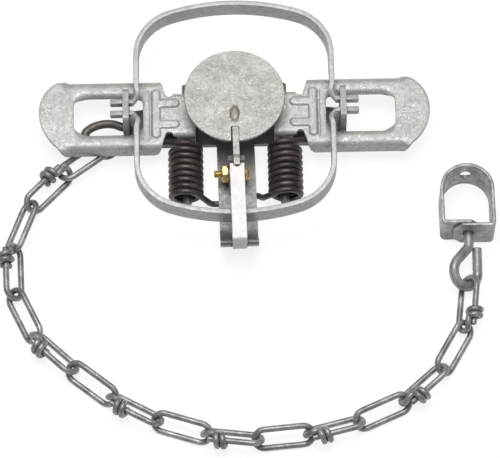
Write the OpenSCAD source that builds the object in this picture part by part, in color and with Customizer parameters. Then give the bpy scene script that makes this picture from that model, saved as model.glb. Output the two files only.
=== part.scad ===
// A two-spring foothold trap in its set position, with its anchor chain and swivel laid out in front.
// Lengths are millimetres. The origin is on the ground under the middle of the base bar,
// X runs along the levers, -Y points to the dog and +Z is up.

/* [Base frame] */
// Width of the base bar
bar_w = 22.5; // [20.5:0.5:28]
// Thickness of the base bar and its upturned posts
bar_t = 3.2; // [2.4:0.1:4]
// Distance between the inner faces of the two posts
post_gap = 111.2; // [108:0.2:118]
// Width of a post
post_w = 19.2; // [16:0.2:22]
// Height of a post's top edge above the ground
post_top = 31; // [30:0.5:36]
// Inside radius of the bend from bar to post
post_bend = 2; // [1:0.5:3]
// Corner radius at the top of a post
post_round = 2.5; // [1:0.5:4]
// Length over which the bar narrows to the post
bar_taper = 14; // [8:1:20]
// Thickness of the lugs that carry a spring pin
lug_t = 2.4; // [1.6:0.1:3]

/* [Jaws] */
// Height of the jaw pivots above the ground
pivot_z = 25.5; // [25:0.1:28]
// Distance between the two pivots on a post
pivot_gap = 6.6; // [6.4:0.1:8]
// Width of the jaw strip, which stands on edge when the jaw lies open
jaw_w = 11.5; // [9:0.1:12]
// Thickness of the jaw strip
jaw_t = 2.8; // [2.4:0.1:4]
// Height of the grip edge above the pivots
grip_rise = 3.15; // [2.6:0.05:3.2]
// Distance from the middle of the trap to the outer face of an open jaw
jaw_reach = 62; // [58:0.5:62.5]
// Outer radius of the jaw's long arc
jaw_arc = 112; // [90:1:130]
// Outer radius of the jaw's corners
jaw_corner = 27.5; // [20:0.5:30]
// Gap between the side of a jaw and the post
jaw_side_gap = 2.6; // [1:0.1:4]
// Width of a jaw tang
tang_w = 2.8; // [2.2:0.1:3.2]
// Height of a jaw tang
tang_h = 4.2; // [3.4:0.1:4.6]
// Length of a tang beyond the post
tang_out = 6.6; // [4:0.2:9]
// Radial clearance between a tang's corners and its hole
tang_clear = 0.13; // [0.08:0.01:0.3]
// Strip left below the pivots where a jaw is cut back over the lever
relief_w = 4; // [3:0.1:5]
// Length of that cut
relief_len = 16; // [14:1:20]

/* [Levers] */
// Height of the levers' top face
lever_z = 17; // [16:0.1:18]
// Thickness of the pressed lever plate
lever_t = 2.4; // [1.8:0.1:2.8]
// Width of a lever over its rails
lever_w = 40.5; // [37:0.5:41]
// Distance from the middle of the trap to a lever's outer end
lever_end = 103.5; // [98:0.5:112]
// Extra radius of the rounded end plate over half the lever's width
end_swell = 0.8; // [0:0.1:2]
// Height of a lever's turned-down outer edge
flange_h = 8; // [6:0.1:8.1]
// Outer radius of a rail's shoulder
shoulder_r = 4; // [3:0.1:5]
// Outer radius of the lip along the window
lip_r = 3; // [2.9:0.1:3.6]
// Distance from the middle to the window's inner edge
win_in = 48; // [46:0.5:50]
// Distance from the middle to the window's outer edge
win_out = 85.5; // [80:0.5:88]
// Gap between the window's sides and the post
win_clear = 1.2; // [0.7:0.05:1.5]
// Distance from the middle to the inner end of the wide part
wide_in = 37.8; // [37:0.1:40]
// Width of the neck over its ears
neck_w = 25.6; // [24.5:0.1:27]
// Radius of the notch between neck and wide part
notch_r = 2.2; // [1.5:0.1:2.5]
// Height of the pressed ribs
rib_h = 0.7; // [0.4:0.1:1]
// Width of the pressed ribs
rib_w = 4.6; // [3:0.1:5]
// Distance between the two rib fingers
rib_gap = 13; // [10:0.5:15]

/* [Springs] */
// Distance from the middle of the trap to a spring pin
pin_x = 25.5; // [25:0.1:26.5]
// Height of the spring pins
pin_z = 9.5; // [9.2:0.1:9.9]
// Diameter of a spring pin
pin_d = 4.6; // [3.6:0.1:5]
// Length of pin behind the neck
pin_tail = 8; // [3:0.5:10]
// Length of pin in front of the coil
pin_nose = 2; // [1:0.5:5]
// Running clearance around a pin in its lugs
pin_clear = 0.06; // [0.03:0.01:0.1]
// Radial wall of an ear around its pin
ear_wall = 2.1; // [1.5:0.1:2.5]
// Diameter of the spring wire
spring_wire = 3.3; // [2.8:0.1:3.3]
// Mean diameter of a coil
coil_d = 14.8; // [13:0.1:15.4]
// Number of full turns
coil_turns = 7; // [5:1:7]
// Distance from turn to turn
coil_pitch = 3.85; // [3.75:0.05:4]
// Clear gap between a coil and the lever's neck
coil_gap = 2.7; // [2:0.1:4]
// Angle at which the rear leg drops under the lever
leg_drop = 26; // [25:0.5:30]
// Share by which the rear leg leans back to the lever
leg_lean = 0.24; // [0.23:0.01:0.3]
// Length of the rear leg
leg_out = 16; // [12:1:20]
// Radius at which the front leg turns up to the coil
leg_bend = 4; // [3:0.1:5]
// Distance from the middle to the end of a front leg
leg_in = 4; // [2.5:0.5:8]
// Clear gap between a spring leg and the crosspiece
leg_gap = 0.4; // [0.3:0.1:1]

/* [Crosspiece] */
// Width of the crosspiece
cross_w = 20; // [18:0.5:24]
// Thickness of the crosspiece
cross_t = 3; // [2.4:0.1:3.6]
// Length of the crosspiece behind the middle
cross_back = 8; // [6:0.5:10]
// Inside radius where its front end turns up
cross_bend = 6; // [4:0.5:8]
// Diameter of a frame rivet
rivet_d = 4; // [3:0.1:5]
// Distance between the two frame rivets
rivet_gap = 11; // [9:0.5:13]

/* [Dog] */
// Distance from the middle to the dog's hinge
dog_y = 76.8; // [75:0.1:79]
// Height of the dog's hinge
dog_z = 22; // [20:0.1:23]
// Width of the dog
dog_w = 7.6; // [6:0.1:9]
// Thickness of the dog
dog_t = 2.2; // [1.8:0.1:2.6]
// Gap between the dog and the jaw's grip edge
dog_gap = 3; // [2.8:0.1:3.4]
// Distance from the middle to the dog's tip
dog_tip = 34.5; // [33:0.1:37]
// Wall of the dog's curl around its hinge bar
curl_wall = 1.4; // [1:0.1:1.8]
// Running clearance of the dog on its hinge bar
curl_clear = 0.1; // [0.05:0.01:0.2]
// Side gap between the dog and its slot in the crosspiece
slot_clear = 0.7; // [0.4:0.1:1]
// Outer radius of the dog's upper bend
dog_bend = 3.6; // [3:0.1:4.5]

/* [Pan] */
// Diameter of the pan
pan_d = 53; // [46:0.5:56]
// Thickness of the pan
pan_t = 2; // [1.4:0.1:2.6]
// Height of the pan's top face
pan_z = 29; // [28:0.1:30]
// Distance of the pan's centre behind the middle
pan_y = 6; // [4:0.5:8]
// Thickness of the pan shank
shank_t = 3.2; // [2.4:0.1:3.6]
// Side clearance of the shank in the pan's slot and between the ears
shank_clear = 0.35; // [0.25:0.05:0.6]
// Length of the slot in the pan
pan_slot = 8.4; // [6:0.2:12]
// Diameter of the tenon head on the pan
tenon_d = 5.2; // [4:0.1:6]
// Distance from the middle to the pan screw
screw_y = 34; // [33:0.1:36]
// Height of the pan screw
screw_z = 15; // [14.5:0.1:16]
// Diameter of the pan screw
screw_d = 4.1; // [3.4:0.1:4.6]
// Length of screw beyond the nut
screw_out = 3.2; // [1:0.2:5]
// Width of the nut across its flats
nut_af = 8.7; // [7.5:0.1:10]
// Thickness of the nut
nut_t = 3.1; // [2.4:0.1:4]
// Running clearance of shank and nut on the screw
screw_clear = 0.07; // [0.04:0.01:0.1]
// Thickness of a bracket ear and of the bracket's floor
ear_t = 2.4; // [1.8:0.1:3]
// Height of the tips of the bracket's ears
ear_top = 25; // [22:0.5:25.5]
// Length of the pan bracket
bracket_l = 17; // [14:0.5:20]

/* [Chain] */
// Diameter of the chain wire
link_wire = 3.2; // [2.6:0.1:3.4]
// Outer length of a link
link_l = 33.4; // [30:0.2:37]
// Outer width of a link
link_w = 13.6; // [13.2:0.1:14.4]
// Clear gap between two links
link_gap = 0.6; // [0.5:0.05:0.9]
// Clear gap at both ends of the first link, which lies flatter than the others
first_gap = 2.2; // [1.8:0.1:2.6]
// Diameter of the wire of the chain hook
hook_wire = 4; // [3.4:0.1:4.2]
// Bend radius of the chain hook
hook_r = 5.4; // [5:0.1:5.4]
// Distance of the hook's hole in front of the middle
hook_y = 3; // [0:0.5:4]

/* [Swivel] */
// Diameter of the wire of the swivel eye
eye_wire = 5; // [4.4:0.1:5]
// Mean radius of the swivel eye
eye_r = 7.5; // [7:0.1:7.5]
// Clear gap between the eye and the last link
eye_gap = 1.3; // [1.1:0.1:1.8]
// Length of straight wire between the eye and the strap
eye_neck = 5; // [3:0.5:8]
// Thickness of the swivel strap
strap_t = 1.8; // [1.4:0.1:2.4]
// Height of the swivel strap as it stands
strap_h = 22; // [20:0.5:26]
// Outer width of the swivel loop
strap_w = 29; // [26:0.5:33]
// Outer length of the swivel loop
strap_l = 36; // [30:0.5:40]
// Diameter of the hole in the strap's crown
crown_d = 7.5; // [5:0.1:9]
// Running clearance of the eye in the strap
eye_clear = 0.1; // [0.05:0.01:0.2]

/* [Hidden] */
$fn = 48;
// Overlap that makes a cut pass right through
cut = 1;
// Gap left between neighbours that move past each other
run_gap = 0.3;

// Posts, tangs and their holes
post_out = post_gap / 2 + bar_t;
tang_hole_d = norm([tang_w, tang_h]) + 2 * tang_clear;
tang_y = pivot_gap / 2;

// Jaw outline, with arcs that meet without a corner
jaw_half = post_gap / 2 - jaw_side_gap;
arc_y = jaw_reach - jaw_arc;
corner_x = jaw_half - jaw_corner;
corner_y = arc_y + sqrt(pow(jaw_arc - jaw_corner, 2) - pow(corner_x, 2));
corner_turn = atan2(corner_y - arc_y, corner_x);
CORNER_STEPS = 24;
ARC_STEPS = 32;
grip_z = pivot_z + grip_rise;
// The bar's ends step out to the posts, and their upper corners are cut so that the jaws pass each other
heel_y = tang_y - tang_w / 2;
toe_out = jaw_side_gap - 0.4;
toe_y = tang_y + tang_w / 2;
toe_l = 4.5;
heel_cut = 0.25 * grip_rise;

// Levers and spring pins
win_half = post_w / 2 + win_clear;
rail_flat = lever_w / 2 - shoulder_r;
end_r = lever_w / 2 + end_swell;
flange_z = lever_z - flange_h;
ear_r = pin_d / 2 + ear_wall;
neck_in = pin_x - ear_r;
neck_ear_in = neck_w / 2 - lever_t;
web_z = lever_z - lever_t;
lug_r = web_z - pin_z - run_gap;
notch_in = 1.8;
notch_x = wide_in - notch_r - notch_in;
notch_off = 0.6;
neck_flare = 2;
flange_cut = 2;
spine_in = 3.2;
finger_in = 3.4;
win_r = 4;
// Where the rails run out into the flat end plate
plate_x = win_out + 3;

// Springs
coil_r = coil_d / 2;
coil_back = -(neck_w / 2 + coil_gap + spring_wire / 2);
foot_x = cross_w / 2 + 0.8;
foot_z = pin_z - coil_r;
foot_span = [pin_x - foot_x, pin_z - foot_z - leg_bend];
leg_up = atan2(foot_span[1], foot_span[0]) + asin((coil_r + leg_bend) / norm(foot_span));
coil_sweep = 360 * coil_turns + leg_up + leg_drop;
coil_front = coil_back - coil_pitch * coil_sweep / 360;
pin_front = coil_front - spring_wire / 2 - pin_nose;
pin_back = neck_w / 2 + pin_tail;
RINGS_PER_TURN = 8;
FOOT_STEPS = 4;
TUBE_SIDES = 6;
coil_steps = ceil(coil_sweep * RINGS_PER_TURN / 360);

// Angles whose sines are exact decimals, so that bends and straight runs share their end faces
TURN_16 = atan2(0.28, 0.96);
TURN_37 = atan2(0.6, 0.8);
TURN_69 = atan2(0.936, 0.352);

// Crosspiece, from the bar forward to the hinge bar at its upturned end
cross_rise = TURN_69;
cross_z = pin_z - coil_r + spring_wire / 2 + leg_gap;
joggle_y = bar_w / 2 + 1;
joggle_l = 3;
cross_mid_r = cross_bend + cross_t / 2;
bend_z = cross_z + cross_t + cross_bend;
rise_l = (dog_z - bend_z + cross_mid_r * cos(cross_rise)) / sin(cross_rise);
bend_y = dog_y - cross_mid_r * sin(cross_rise) - rise_l * cos(cross_rise);
hinge_r = cross_t / 2 - 0.1;

// Dog
dog_under = grip_z + dog_gap;
dog_top = dog_under + dog_t;
curl_r = hinge_r + curl_clear + curl_wall;
dog_back = dog_y + curl_r;
slot_w = dog_w + 2 * slot_clear;
slot_l = dog_top - dog_z + 1.2;

// Pan, shank and bracket
pan_under = pan_z - pan_t;
pan_front = pan_y - pan_d / 2;
slot_end = pan_front + pan_slot;
tenon_in = 9;
tenon_y = slot_end + tenon_in;
ear_in = shank_t / 2 + shank_clear;
ear_out = ear_in + ear_t;
// An ear's tip behind the screw, and its length
ear_tip = 6.2;
ear_tip_l = 3;
bracket_z = cross_z + cross_t;
boss_r = screw_d / 2 + 2.1;
nose_in = 0.6;
nose_front = -dog_tip - nose_in;
tip_notch_r = norm([shank_t / 2, nose_in]) + run_gap;

// Chain: each link pivots at the middle of the gap to the one before it
link_r = link_wire / 2;
link_half_w = link_w / 2 - link_r;
link_half_l = link_l / 2 - link_r;
link_inner = link_half_l - link_r;
LINK_ROLL = 45;
FIRST_ROLL = 20;
chain_z = link_half_w * sin(LINK_ROLL) + link_r;
// Directions of the sixteen links, anticlockwise from +X and seen from above
LINK_TURNS = [216, 226, 249, 272, 295, 316, 321, 331, 342, 353, 365, 374, 384, 402, 420, 443];
LAST = len(LINK_TURNS);
KNOT_R = 1.95 * link_r;
KNOT_STEP = 1.95 * link_r;
knot_from_end = 9;
first_knot_from_end = 10.3;

// Chain hook, a wire out of the left post that bends forward and turns back under itself
HOOK_TURN = TURN_37;
HOOK_ROLL = TURN_37;
hook_heading = 180 + HOOK_TURN;
hook_bend = 10;
hook_lead = 2;
hook_run = 5;
hook_back = 6;
hook_head_t = 1.6;
hook_z = chain_z + hook_r * sin(HOOK_ROLL);
hook_turn_at = [-post_out - hook_lead, -hook_y - hook_bend, hook_z]
  - hook_bend * left(hook_heading) + hook_run * ahead(hook_heading);
hook_tip = hook_turn_at + hook_r * cos(HOOK_ROLL) * left(hook_heading)
  - [0, 0, hook_r * sin(HOOK_ROLL)] + hook_r * ahead(hook_heading);
chain_start = hook_tip - (hook_wire / 2 + first_gap / 2) * ahead(hook_heading);

// Swivel eye, a wire from the strap that dips, leans to one side and loops back
EYE_HEADING = 90;
EYE_ROLL = TURN_37;
EYE_DIP = TURN_16;
EYE_LEAN = TURN_37;
eye_bend = 5;
eye_lead = 2;
eye_mitre = 0.4;
eye_arm = (eye_r * cos(EYE_LEAN) - eye_bend * (1 - cos(EYE_LEAN))) / sin(EYE_LEAN);
eye_reach = eye_lead + (eye_bend + eye_r) * sin(EYE_LEAN) + eye_arm * cos(EYE_LEAN) + eye_r;
eye_end = 9;
eye_head_d = eye_wire + 3.6;
eye_head_t = 2;
eye_tip = pivot(LAST) - (eye_wire / 2 + eye_gap / 2) * ahead(EYE_HEADING);
eye_shank = eye_tip + eye_reach * (cos(EYE_DIP) * ahead(EYE_HEADING) + [0, 0, sin(EYE_DIP)]);
strap_z = eye_shank[2];
flap_x = eye_neck;

// Directions on the ground
function ahead(a) = [cos(a), sin(a), 0];
function left(a) = [-sin(a), cos(a), 0];

// Points of an arc, without its two ends
function arc(mid, r, from, to, steps) = [
  for (i = [1:steps - 1]) let(a = from + (to - from) * i / steps) mid + r * [cos(a), sin(a)]
];
function at(mid, r, a) = mid + r * [cos(a), sin(a)];
function reverse(p) = [for (i = [1:len(p)]) p[len(p) - i]];

// Line of a rear jaw's face, drawn in from its outer face, from its right-hand end to its left
function jaw_half_line(inset) = concat(
  [[jaw_half + toe_out - inset, heel_y], [jaw_half + toe_out - inset, toe_y]],
  [[jaw_half - inset, toe_y + toe_l], [jaw_half - inset, corner_y]],
  arc([corner_x, corner_y], jaw_corner - inset, 0, corner_turn, CORNER_STEPS),
  [at([corner_x, corner_y], jaw_corner - inset, corner_turn)]
);
function jaw_line(inset) = concat(
  jaw_half_line(inset),
  arc([0, arc_y], jaw_arc - inset, corner_turn, 180 - corner_turn, ARC_STEPS),
  [for (q = reverse(jaw_half_line(inset))) [-q[0], q[1]]]
);

// Gap at joint i, the middle of link i, and the pivot after link i
function joint_gap(i) = i < 2 ? first_gap : i == LAST ? eye_gap : link_gap;
function link_mid(i) = pivot(i - 1) + (link_inner - joint_gap(i - 1) / 2) * ahead(LINK_TURNS[i - 1]);
function pivot(i) = i == 0 ? chain_start
  : link_mid(i) + (link_inner - joint_gap(i) / 2) * ahead(LINK_TURNS[i - 1]);

// A spring's centre line on the right-hand side: front leg, turns, rear leg
function coil_point(a) = [
  pin_x + coil_r * sin(a - leg_up),
  coil_front + coil_pitch * a / 360,
  pin_z + coil_r * cos(a - leg_up)
];
function spring_foot() = concat(
  [for (i = [0:1]) [leg_in + (foot_x - leg_in) * i / 2, coil_front, foot_z]],
  [
    for (i = [0:FOOT_STEPS])
      let(a = leg_up * i / FOOT_STEPS)
      [foot_x + leg_bend * sin(a), coil_front, foot_z + leg_bend * (1 - cos(a))]
  ]
);
function spring_coil() = [for (i = [0:coil_steps]) coil_point(coil_sweep * i / coil_steps)];
function spring_leg() = let(way = unit([cos(leg_drop), leg_lean, -sin(leg_drop)]))
  [for (i = [1:3]) coil_point(coil_sweep) + way * leg_out * i / 3];
function unit(v) = v / norm(v);
function tangent(p, i) = unit(p[min(i + 1, len(p) - 1)] - p[max(i - 1, 0)]);

// Points of a tube of radius r along the line p, whose sides stay square to Y
function tube_points(p, r) = [
  for (i = [0:len(p) - 1])
    let(t = tangent(p, i), a = unit([0, 1, 0] - t[1] * t), b = cross(t, a))
    for (k = [0:TUBE_SIDES - 1])
      p[i] + r * (cos(360 * k / TUBE_SIDES) * a + sin(360 * k / TUBE_SIDES) * b)
];
function ring_faces(i) = [
  for (k = [0:TUBE_SIDES - 1])
    let(a = i * TUBE_SIDES + k, b = i * TUBE_SIDES + (k + 1) % TUBE_SIDES)
    each [[a, a + TUBE_SIDES, b], [b, a + TUBE_SIDES, b + TUBE_SIDES]]
];
function cap_faces(first, flip) = [
  for (k = [1:TUBE_SIDES - 2])
    flip ? [first, first + k, first + k + 1] : [first, first + k + 1, first + k]
];

// Least gap between neighbouring turns, measured on the points of the centre line
COIL = spring_coil();
SPRING = concat(spring_foot(), COIL, spring_leg());
TURN_GAP = min([
  for (i = [0:coil_steps - RINGS_PER_TURN]) norm(COIL[i + RINGS_PER_TURN] - COIL[i]) - spring_wire
]);
echo(spring_turn_gap = TURN_GAP);

// A profile of (Y, Z) points drawn out along X, centred
module along_x(width) {
  rotate([90, 0, 90]) linear_extrude(width, center = true) children();
}

// A profile of (X, Z) points drawn out along Y, centred
module along_y(width) {
  rotate([90, 0, 0]) linear_extrude(width, center = true) children();
}

// A round rod along X, centred
module rod_x(d, l) {
  rotate([0, 90, 0]) cylinder(d = d, h = l, center = true);
}

// A round rod along Y, from one place to another
module rod_y(d, from, to) {
  translate([0, from, 0]) rotate([-90, 0, 0]) cylinder(d = d, h = to - from);
}

module quarter_ring(r, t) {
  intersection() {
    difference() {
      circle(r);
      circle(r - t);
    }
    square(r);
  }
}

// Wire along +X, and a bend of it to the left
module wire_line(r, l) {
  rotate([0, 90, 0]) cylinder(r = r, h = l);
}

module wire_bend(r, radius, angle) {
  translate([0, radius, 0]) rotate([0, 0, -90]) {
    rotate_extrude(angle = angle) translate([radius, 0]) circle(r);
  }
}

// Carries its children on to the end of such a bend
module after_bend(radius, angle) {
  translate([radius * sin(angle), radius * (1 - cos(angle)), 0]) rotate([0, 0, angle]) children();
}

module base_outline() {
  flat = post_gap / 2 - post_bend;
  polygon([
    [-flat, -post_w / 2], [-flat + bar_taper, -bar_w / 2],
    [flat - bar_taper, -bar_w / 2], [flat, -post_w / 2],
    [flat, post_w / 2], [flat - bar_taper, bar_w / 2],
    [-flat + bar_taper, bar_w / 2], [-flat, post_w / 2]
  ]);
}

// The upturned end on the right, seen along Y
module post_profile() {
  bend = post_bend + bar_t;
  translate([post_gap / 2 - post_bend, bend]) mirror([0, 1]) quarter_ring(bend, bar_t);
  translate([post_gap / 2, bend]) square([bar_t, post_top - bend]);
}

// The post's face, seen along X
module post_face() {
  top = post_top - post_round;
  translate([-post_w / 2, 0]) square([post_w, top]);
  translate([-post_w / 2 + post_round, 0]) square([post_w - 2 * post_round, post_top]);
  for (side = [-1, 1]) translate([side * (post_w / 2 - post_round), top]) circle(post_round);
}

module post() {
  intersection() {
    along_y(post_w) post_profile();
    translate([post_gap / 2, 0, 0]) along_x(4 * (bar_t + post_bend)) post_face();
  }
}

// Two upright lugs beside each other that carry a spring pin
module pin_lugs() {
  for (side = [-1, 1]) {
    translate([pin_x, side * (neck_ear_in - run_gap - lug_t / 2), 0]) {
      along_y(lug_t) {
        translate([0, pin_z]) circle(lug_r);
        translate([-lug_r, bar_t]) square([2 * lug_r, pin_z - bar_t]);
      }
    }
  }
}

module base_frame() {
  color("dimgray") difference() {
    union() {
      linear_extrude(bar_t) base_outline();
      for (side = [0, 1]) mirror([side, 0, 0]) {
        post();
        pin_lugs();
      }
    }
    for (side = [-1, 1]) translate([0, side * tang_y, pivot_z]) rod_x(tang_hole_d, 2 * post_out + cut);
    for (side = [-1, 1]) {
      translate([side * pin_x, 0, pin_z]) rod_y(pin_d + 2 * pin_clear, -bar_w, bar_w);
    }
    translate([-post_out, -hook_y, hook_z]) rod_x(hook_wire + 2 * pin_clear, 2 * bar_t + cut);
    for (side = [-1, 1]) {
      translate([side * rivet_gap / 2, 0, -cut]) cylinder(d = rivet_d, h = bar_t + 2 * cut);
    }
  }
}

// The crosspiece, seen along X
module cross_profile() {
  polygon([
    [cross_back, bar_t], [-joggle_y, bar_t], [-joggle_y - joggle_l, cross_z], [-bend_y, cross_z],
    [-bend_y, cross_z + cross_t], [-joggle_y - joggle_l, cross_z + cross_t],
    [-joggle_y, bar_t + cross_t], [cross_back, bar_t + cross_t]
  ]);
  translate([-bend_y, bend_z]) {
    intersection() {
      difference() {
        circle(cross_bend + cross_t);
        circle(cross_bend);
      }
      translate([-dog_y, -dog_y]) square(dog_y);
      rotate(-cross_rise) translate([0, -dog_y]) square(dog_y);
    }
    rotate(-cross_rise) {
      translate([-rise_l, -cross_bend - cross_t]) square([rise_l, cross_t]);
      translate([-rise_l, -cross_mid_r]) circle(cross_t / 2);
    }
  }
}

module crosspiece() {
  color("slategray") {
    difference() {
      along_x(cross_w) cross_profile();
      translate([0, -bend_y, bend_z]) rotate([-cross_rise, 0, 0]) {
        translate([-slot_w / 2, -rise_l - cross_t, -cross_mid_r - cross_t]) {
          cube([slot_w, slot_l + cross_t, 2 * cross_t]);
        }
      }
      for (side = [-1, 1]) {
        translate([side * rivet_gap / 2, 0, 0]) cylinder(d = rivet_d, h = 2 * cross_z + cross_t);
      }
    }
    translate([0, -dog_y, dog_z]) rod_x(2 * hinge_r, slot_w + 4);
  }
}

// A low round head on a flat face
module dome(d, h) {
  r = (d * d / 4 + h * h) / (2 * h);
  intersection() {
    translate([0, 0, h - r]) sphere(r);
    cylinder(d = d + cut, h = h + cut);
  }
}

module frame_rivets() {
  top = bar_t + cross_t;
  color("gray") for (side = [-1, 1]) translate([side * rivet_gap / 2, 0, 0]) {
    cylinder(d = rivet_d, h = top);
    translate([0, 0, top]) dome(1.7 * rivet_d, 0.4 * rivet_d);
  }
}

module pan_bracket() {
  color("gray") difference() {
    union() {
      translate([-ear_out, -screw_y - bracket_l / 2, bracket_z]) cube([2 * ear_out, bracket_l, ear_t]);
      for (side = [-1, 1]) translate([side * (ear_in + ear_t / 2), 0, 0]) along_x(ear_t) {
        translate([-screw_y, screw_z]) circle(boss_r + 0.6);
        polygon([
          [-screw_y - bracket_l / 2, bracket_z], [-screw_y + bracket_l / 2, bracket_z],
          [-screw_y + bracket_l / 2, screw_z + 3], [-screw_y + ear_tip, ear_top - 1],
          [-screw_y + ear_tip - ear_tip_l, ear_top], [-screw_y, screw_z + 4],
          [-screw_y - bracket_l / 2, bracket_z + ear_t + 1]
        ]);
      }
    }
    translate([0, -screw_y, screw_z]) rod_x(screw_d + 2 * screw_clear, 2 * ear_out + cut);
  }
}

module pan_plate() {
  slot = shank_t + 2 * shank_clear;
  color("lightgray") difference() {
    translate([0, pan_y, pan_under]) cylinder(d = pan_d, h = pan_t);
    translate([-slot / 2, pan_front - cut, pan_under - cut]) cube([slot, pan_slot + cut, pan_t + 2 * cut]);
    translate([0, tenon_y, pan_under - cut]) cylinder(d = tenon_d - 2, h = pan_t + 2 * cut);
  }
}

// The upright strip from under the pan through its slot to the screw and the dog's tip
module shank_profile() {
  translate([-screw_y, screw_z]) circle(boss_r);
  polygon([
    [tenon_y + 4, pan_under], [slot_end - shank_clear, pan_under], [slot_end - shank_clear, pan_z + 0.3],
    [nose_front + 6, pan_z + 0.3], [nose_front + 3.4, dog_top - 0.4], [nose_front, dog_top - 0.4],
    [nose_front, dog_under - 1.5], [-screw_y - boss_r, screw_z], [-screw_y + 2, screw_z - boss_r + 0.4],
    [-screw_y + 10, screw_z + 5], [tenon_y + 4, pan_under - 3]
  ]);
}

module pan_shank() {
  color("silver") difference() {
    union() {
      along_x(shank_t) shank_profile();
      translate([0, tenon_y, pan_under - 1]) cylinder(d = tenon_d - 2, h = pan_t + 1);
      translate([0, tenon_y, pan_z]) dome(tenon_d, 0.6);
    }
    translate([0, -screw_y, screw_z]) rod_x(screw_d + 2 * screw_clear, shank_t + cut);
  }
}

module pan_screw() {
  end = ear_out + nut_t + screw_out;
  color("goldenrod") translate([0, -screw_y, screw_z]) rotate([0, 90, 0]) {
    translate([0, 0, -end]) cylinder(d = screw_d, h = end + ear_out);
    translate([0, 0, ear_out]) dome(1.9 * screw_d, 0.62 * screw_d);
  }
}

module pan_nut() {
  color("darkgoldenrod") translate([-ear_out, -screw_y, screw_z]) rotate([0, -90, 0]) difference() {
    cylinder(d = nut_af / cos(30), h = nut_t, $fn = 6);
    translate([0, 0, -cut]) cylinder(d = screw_d + 2 * screw_clear, h = nut_t + 2 * cut);
  }
}

// The dog, seen along X: a curl on the hinge bar, a wall, a bend and the flat arm
module dog_profile() {
  bend_at = dog_top - dog_bend;
  translate([-dog_y, dog_z]) circle(curl_r);
  translate([-dog_back, dog_z]) square([dog_t, bend_at - dog_z]);
  translate([-dog_back + dog_bend, bend_at]) mirror([1, 0]) quarter_ring(dog_bend, dog_t);
  translate([-dog_back + dog_bend, dog_under]) square([dog_back - dog_bend - dog_tip, dog_t]);
}

module dog() {
  color("whitesmoke") difference() {
    along_x(dog_w) dog_profile();
    translate([0, -dog_y, dog_z]) rod_x(2 * (hinge_r + curl_clear), dog_w + cut);
    translate([0, -dog_tip, dog_under - cut]) cylinder(r = tip_notch_r, h = dog_t + 2 * cut);
  }
}

module jaw() {
  low = jaw_w - grip_rise;
  difference() {
    translate([0, 0, pivot_z - low]) linear_extrude(jaw_w) {
      polygon(concat(jaw_line(0), reverse(jaw_line(jaw_t))));
    }
    translate([-post_out, -cut, pivot_z - jaw_w]) {
      cube([2 * post_out, tang_y + relief_len + cut, jaw_w - relief_w]);
    }
    along_x(2 * post_out) polygon([
      [heel_y - cut, grip_z + cut], [heel_y - cut, grip_z - heel_cut], [heel_y, grip_z - heel_cut],
      [tang_y - 0.2, grip_z], [tang_y - 0.2, grip_z + cut]
    ]);
  }
  for (side = [0, 1]) mirror([side, 0, 0]) {
    translate([jaw_half - jaw_t, tang_y - tang_w / 2, pivot_z - tang_h / 2]) {
      cube([post_out + tang_out - jaw_half + jaw_t, tang_w, tang_h]);
    }
  }
}

module rear_jaw() {
  color("silver") jaw();
}

module front_jaw() {
  color("silver") mirror([0, 1, 0]) jaw();
}

// Flat top of a right-hand lever, with its window and notches
module lever_outline() {
  difference() {
    union() {
      translate([neck_in, -neck_w / 2]) square([win_in - neck_in, neck_w]);
      polygon([
        [wide_in, -rail_flat], [plate_x, -rail_flat], [plate_x, rail_flat], [wide_in, rail_flat],
        [wide_in - neck_flare, neck_w / 2], [wide_in - neck_flare, -neck_w / 2]
      ]);
      intersection() {
        translate([lever_end - end_r, 0]) circle(end_r);
        translate([plate_x, -end_r]) square([lever_end - plate_x, 2 * end_r]);
      }
    }
    offset(win_r) offset(-win_r) translate([win_in, -win_half - lip_r]) {
      square([win_out - win_in, 2 * (win_half + lip_r)]);
    }
    for (side = [-1, 1]) translate([notch_x, side * (neck_w / 2 + notch_off)]) circle(notch_r);
  }
}

// Rounded shoulder and flange of a rail, seen along X
module shoulder_profile() {
  translate([rail_flat, lever_z - shoulder_r]) quarter_ring(shoulder_r, lever_t);
  translate([lever_w / 2 - lever_t, flange_z]) square([lever_t, flange_h - shoulder_r]);
}

// Side outline of a rail, with its flange cut back at both ends
module flange_outline() {
  polygon([
    [wide_in, lever_z + cut], [wide_in, flange_z + flange_cut], [wide_in + flange_cut, flange_z - cut],
    [plate_x, flange_z - cut], [plate_x + flange_cut, lever_z - shoulder_r],
    [plate_x + flange_cut, lever_z + cut]
  ]);
}

module rail() {
  mid = (wide_in + plate_x) / 2;
  intersection() {
    translate([mid, 0, 0]) along_x(lever_end) shoulder_profile();
    along_y(2 * lever_w) flange_outline();
  }
  translate([(win_in + win_out) / 2, 0, 0]) along_x(win_out - win_in) {
    translate([win_half + lip_r, lever_z - lip_r]) mirror([1, 0]) quarter_ring(lip_r, lever_t);
  }
}

// Flat land between a rail's lip and its shoulder
module rail_land() {
  land = rail_flat - win_half - lip_r;
  if (land > 0) translate([win_in, win_half + lip_r, web_z]) cube([win_out - win_in, land, lever_t]);
}

// Raised rib with two fingers that point to the pin
module lever_ribs() {
  spine_x = wide_in + spine_in;
  finger_x = pin_x + finger_in;
  for (side = [-1, 1]) translate([0, side * rib_gap / 2]) {
    translate([finger_x, 0]) circle(d = rib_w);
    translate([finger_x, -rib_w / 2]) square([spine_x - finger_x, rib_w]);
  }
  translate([spine_x, -rib_gap / 2 - rib_w]) square([rib_w, rib_gap + 2 * rib_w]);
}

module lever_ears() {
  for (side = [-1, 1]) translate([0, side * (neck_w - lever_t) / 2, 0]) along_y(lever_t) {
    translate([pin_x, pin_z]) circle(ear_r);
    translate([pin_x - ear_r, pin_z]) square([2 * ear_r, web_z - pin_z + lever_t / 2]);
  }
}

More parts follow.
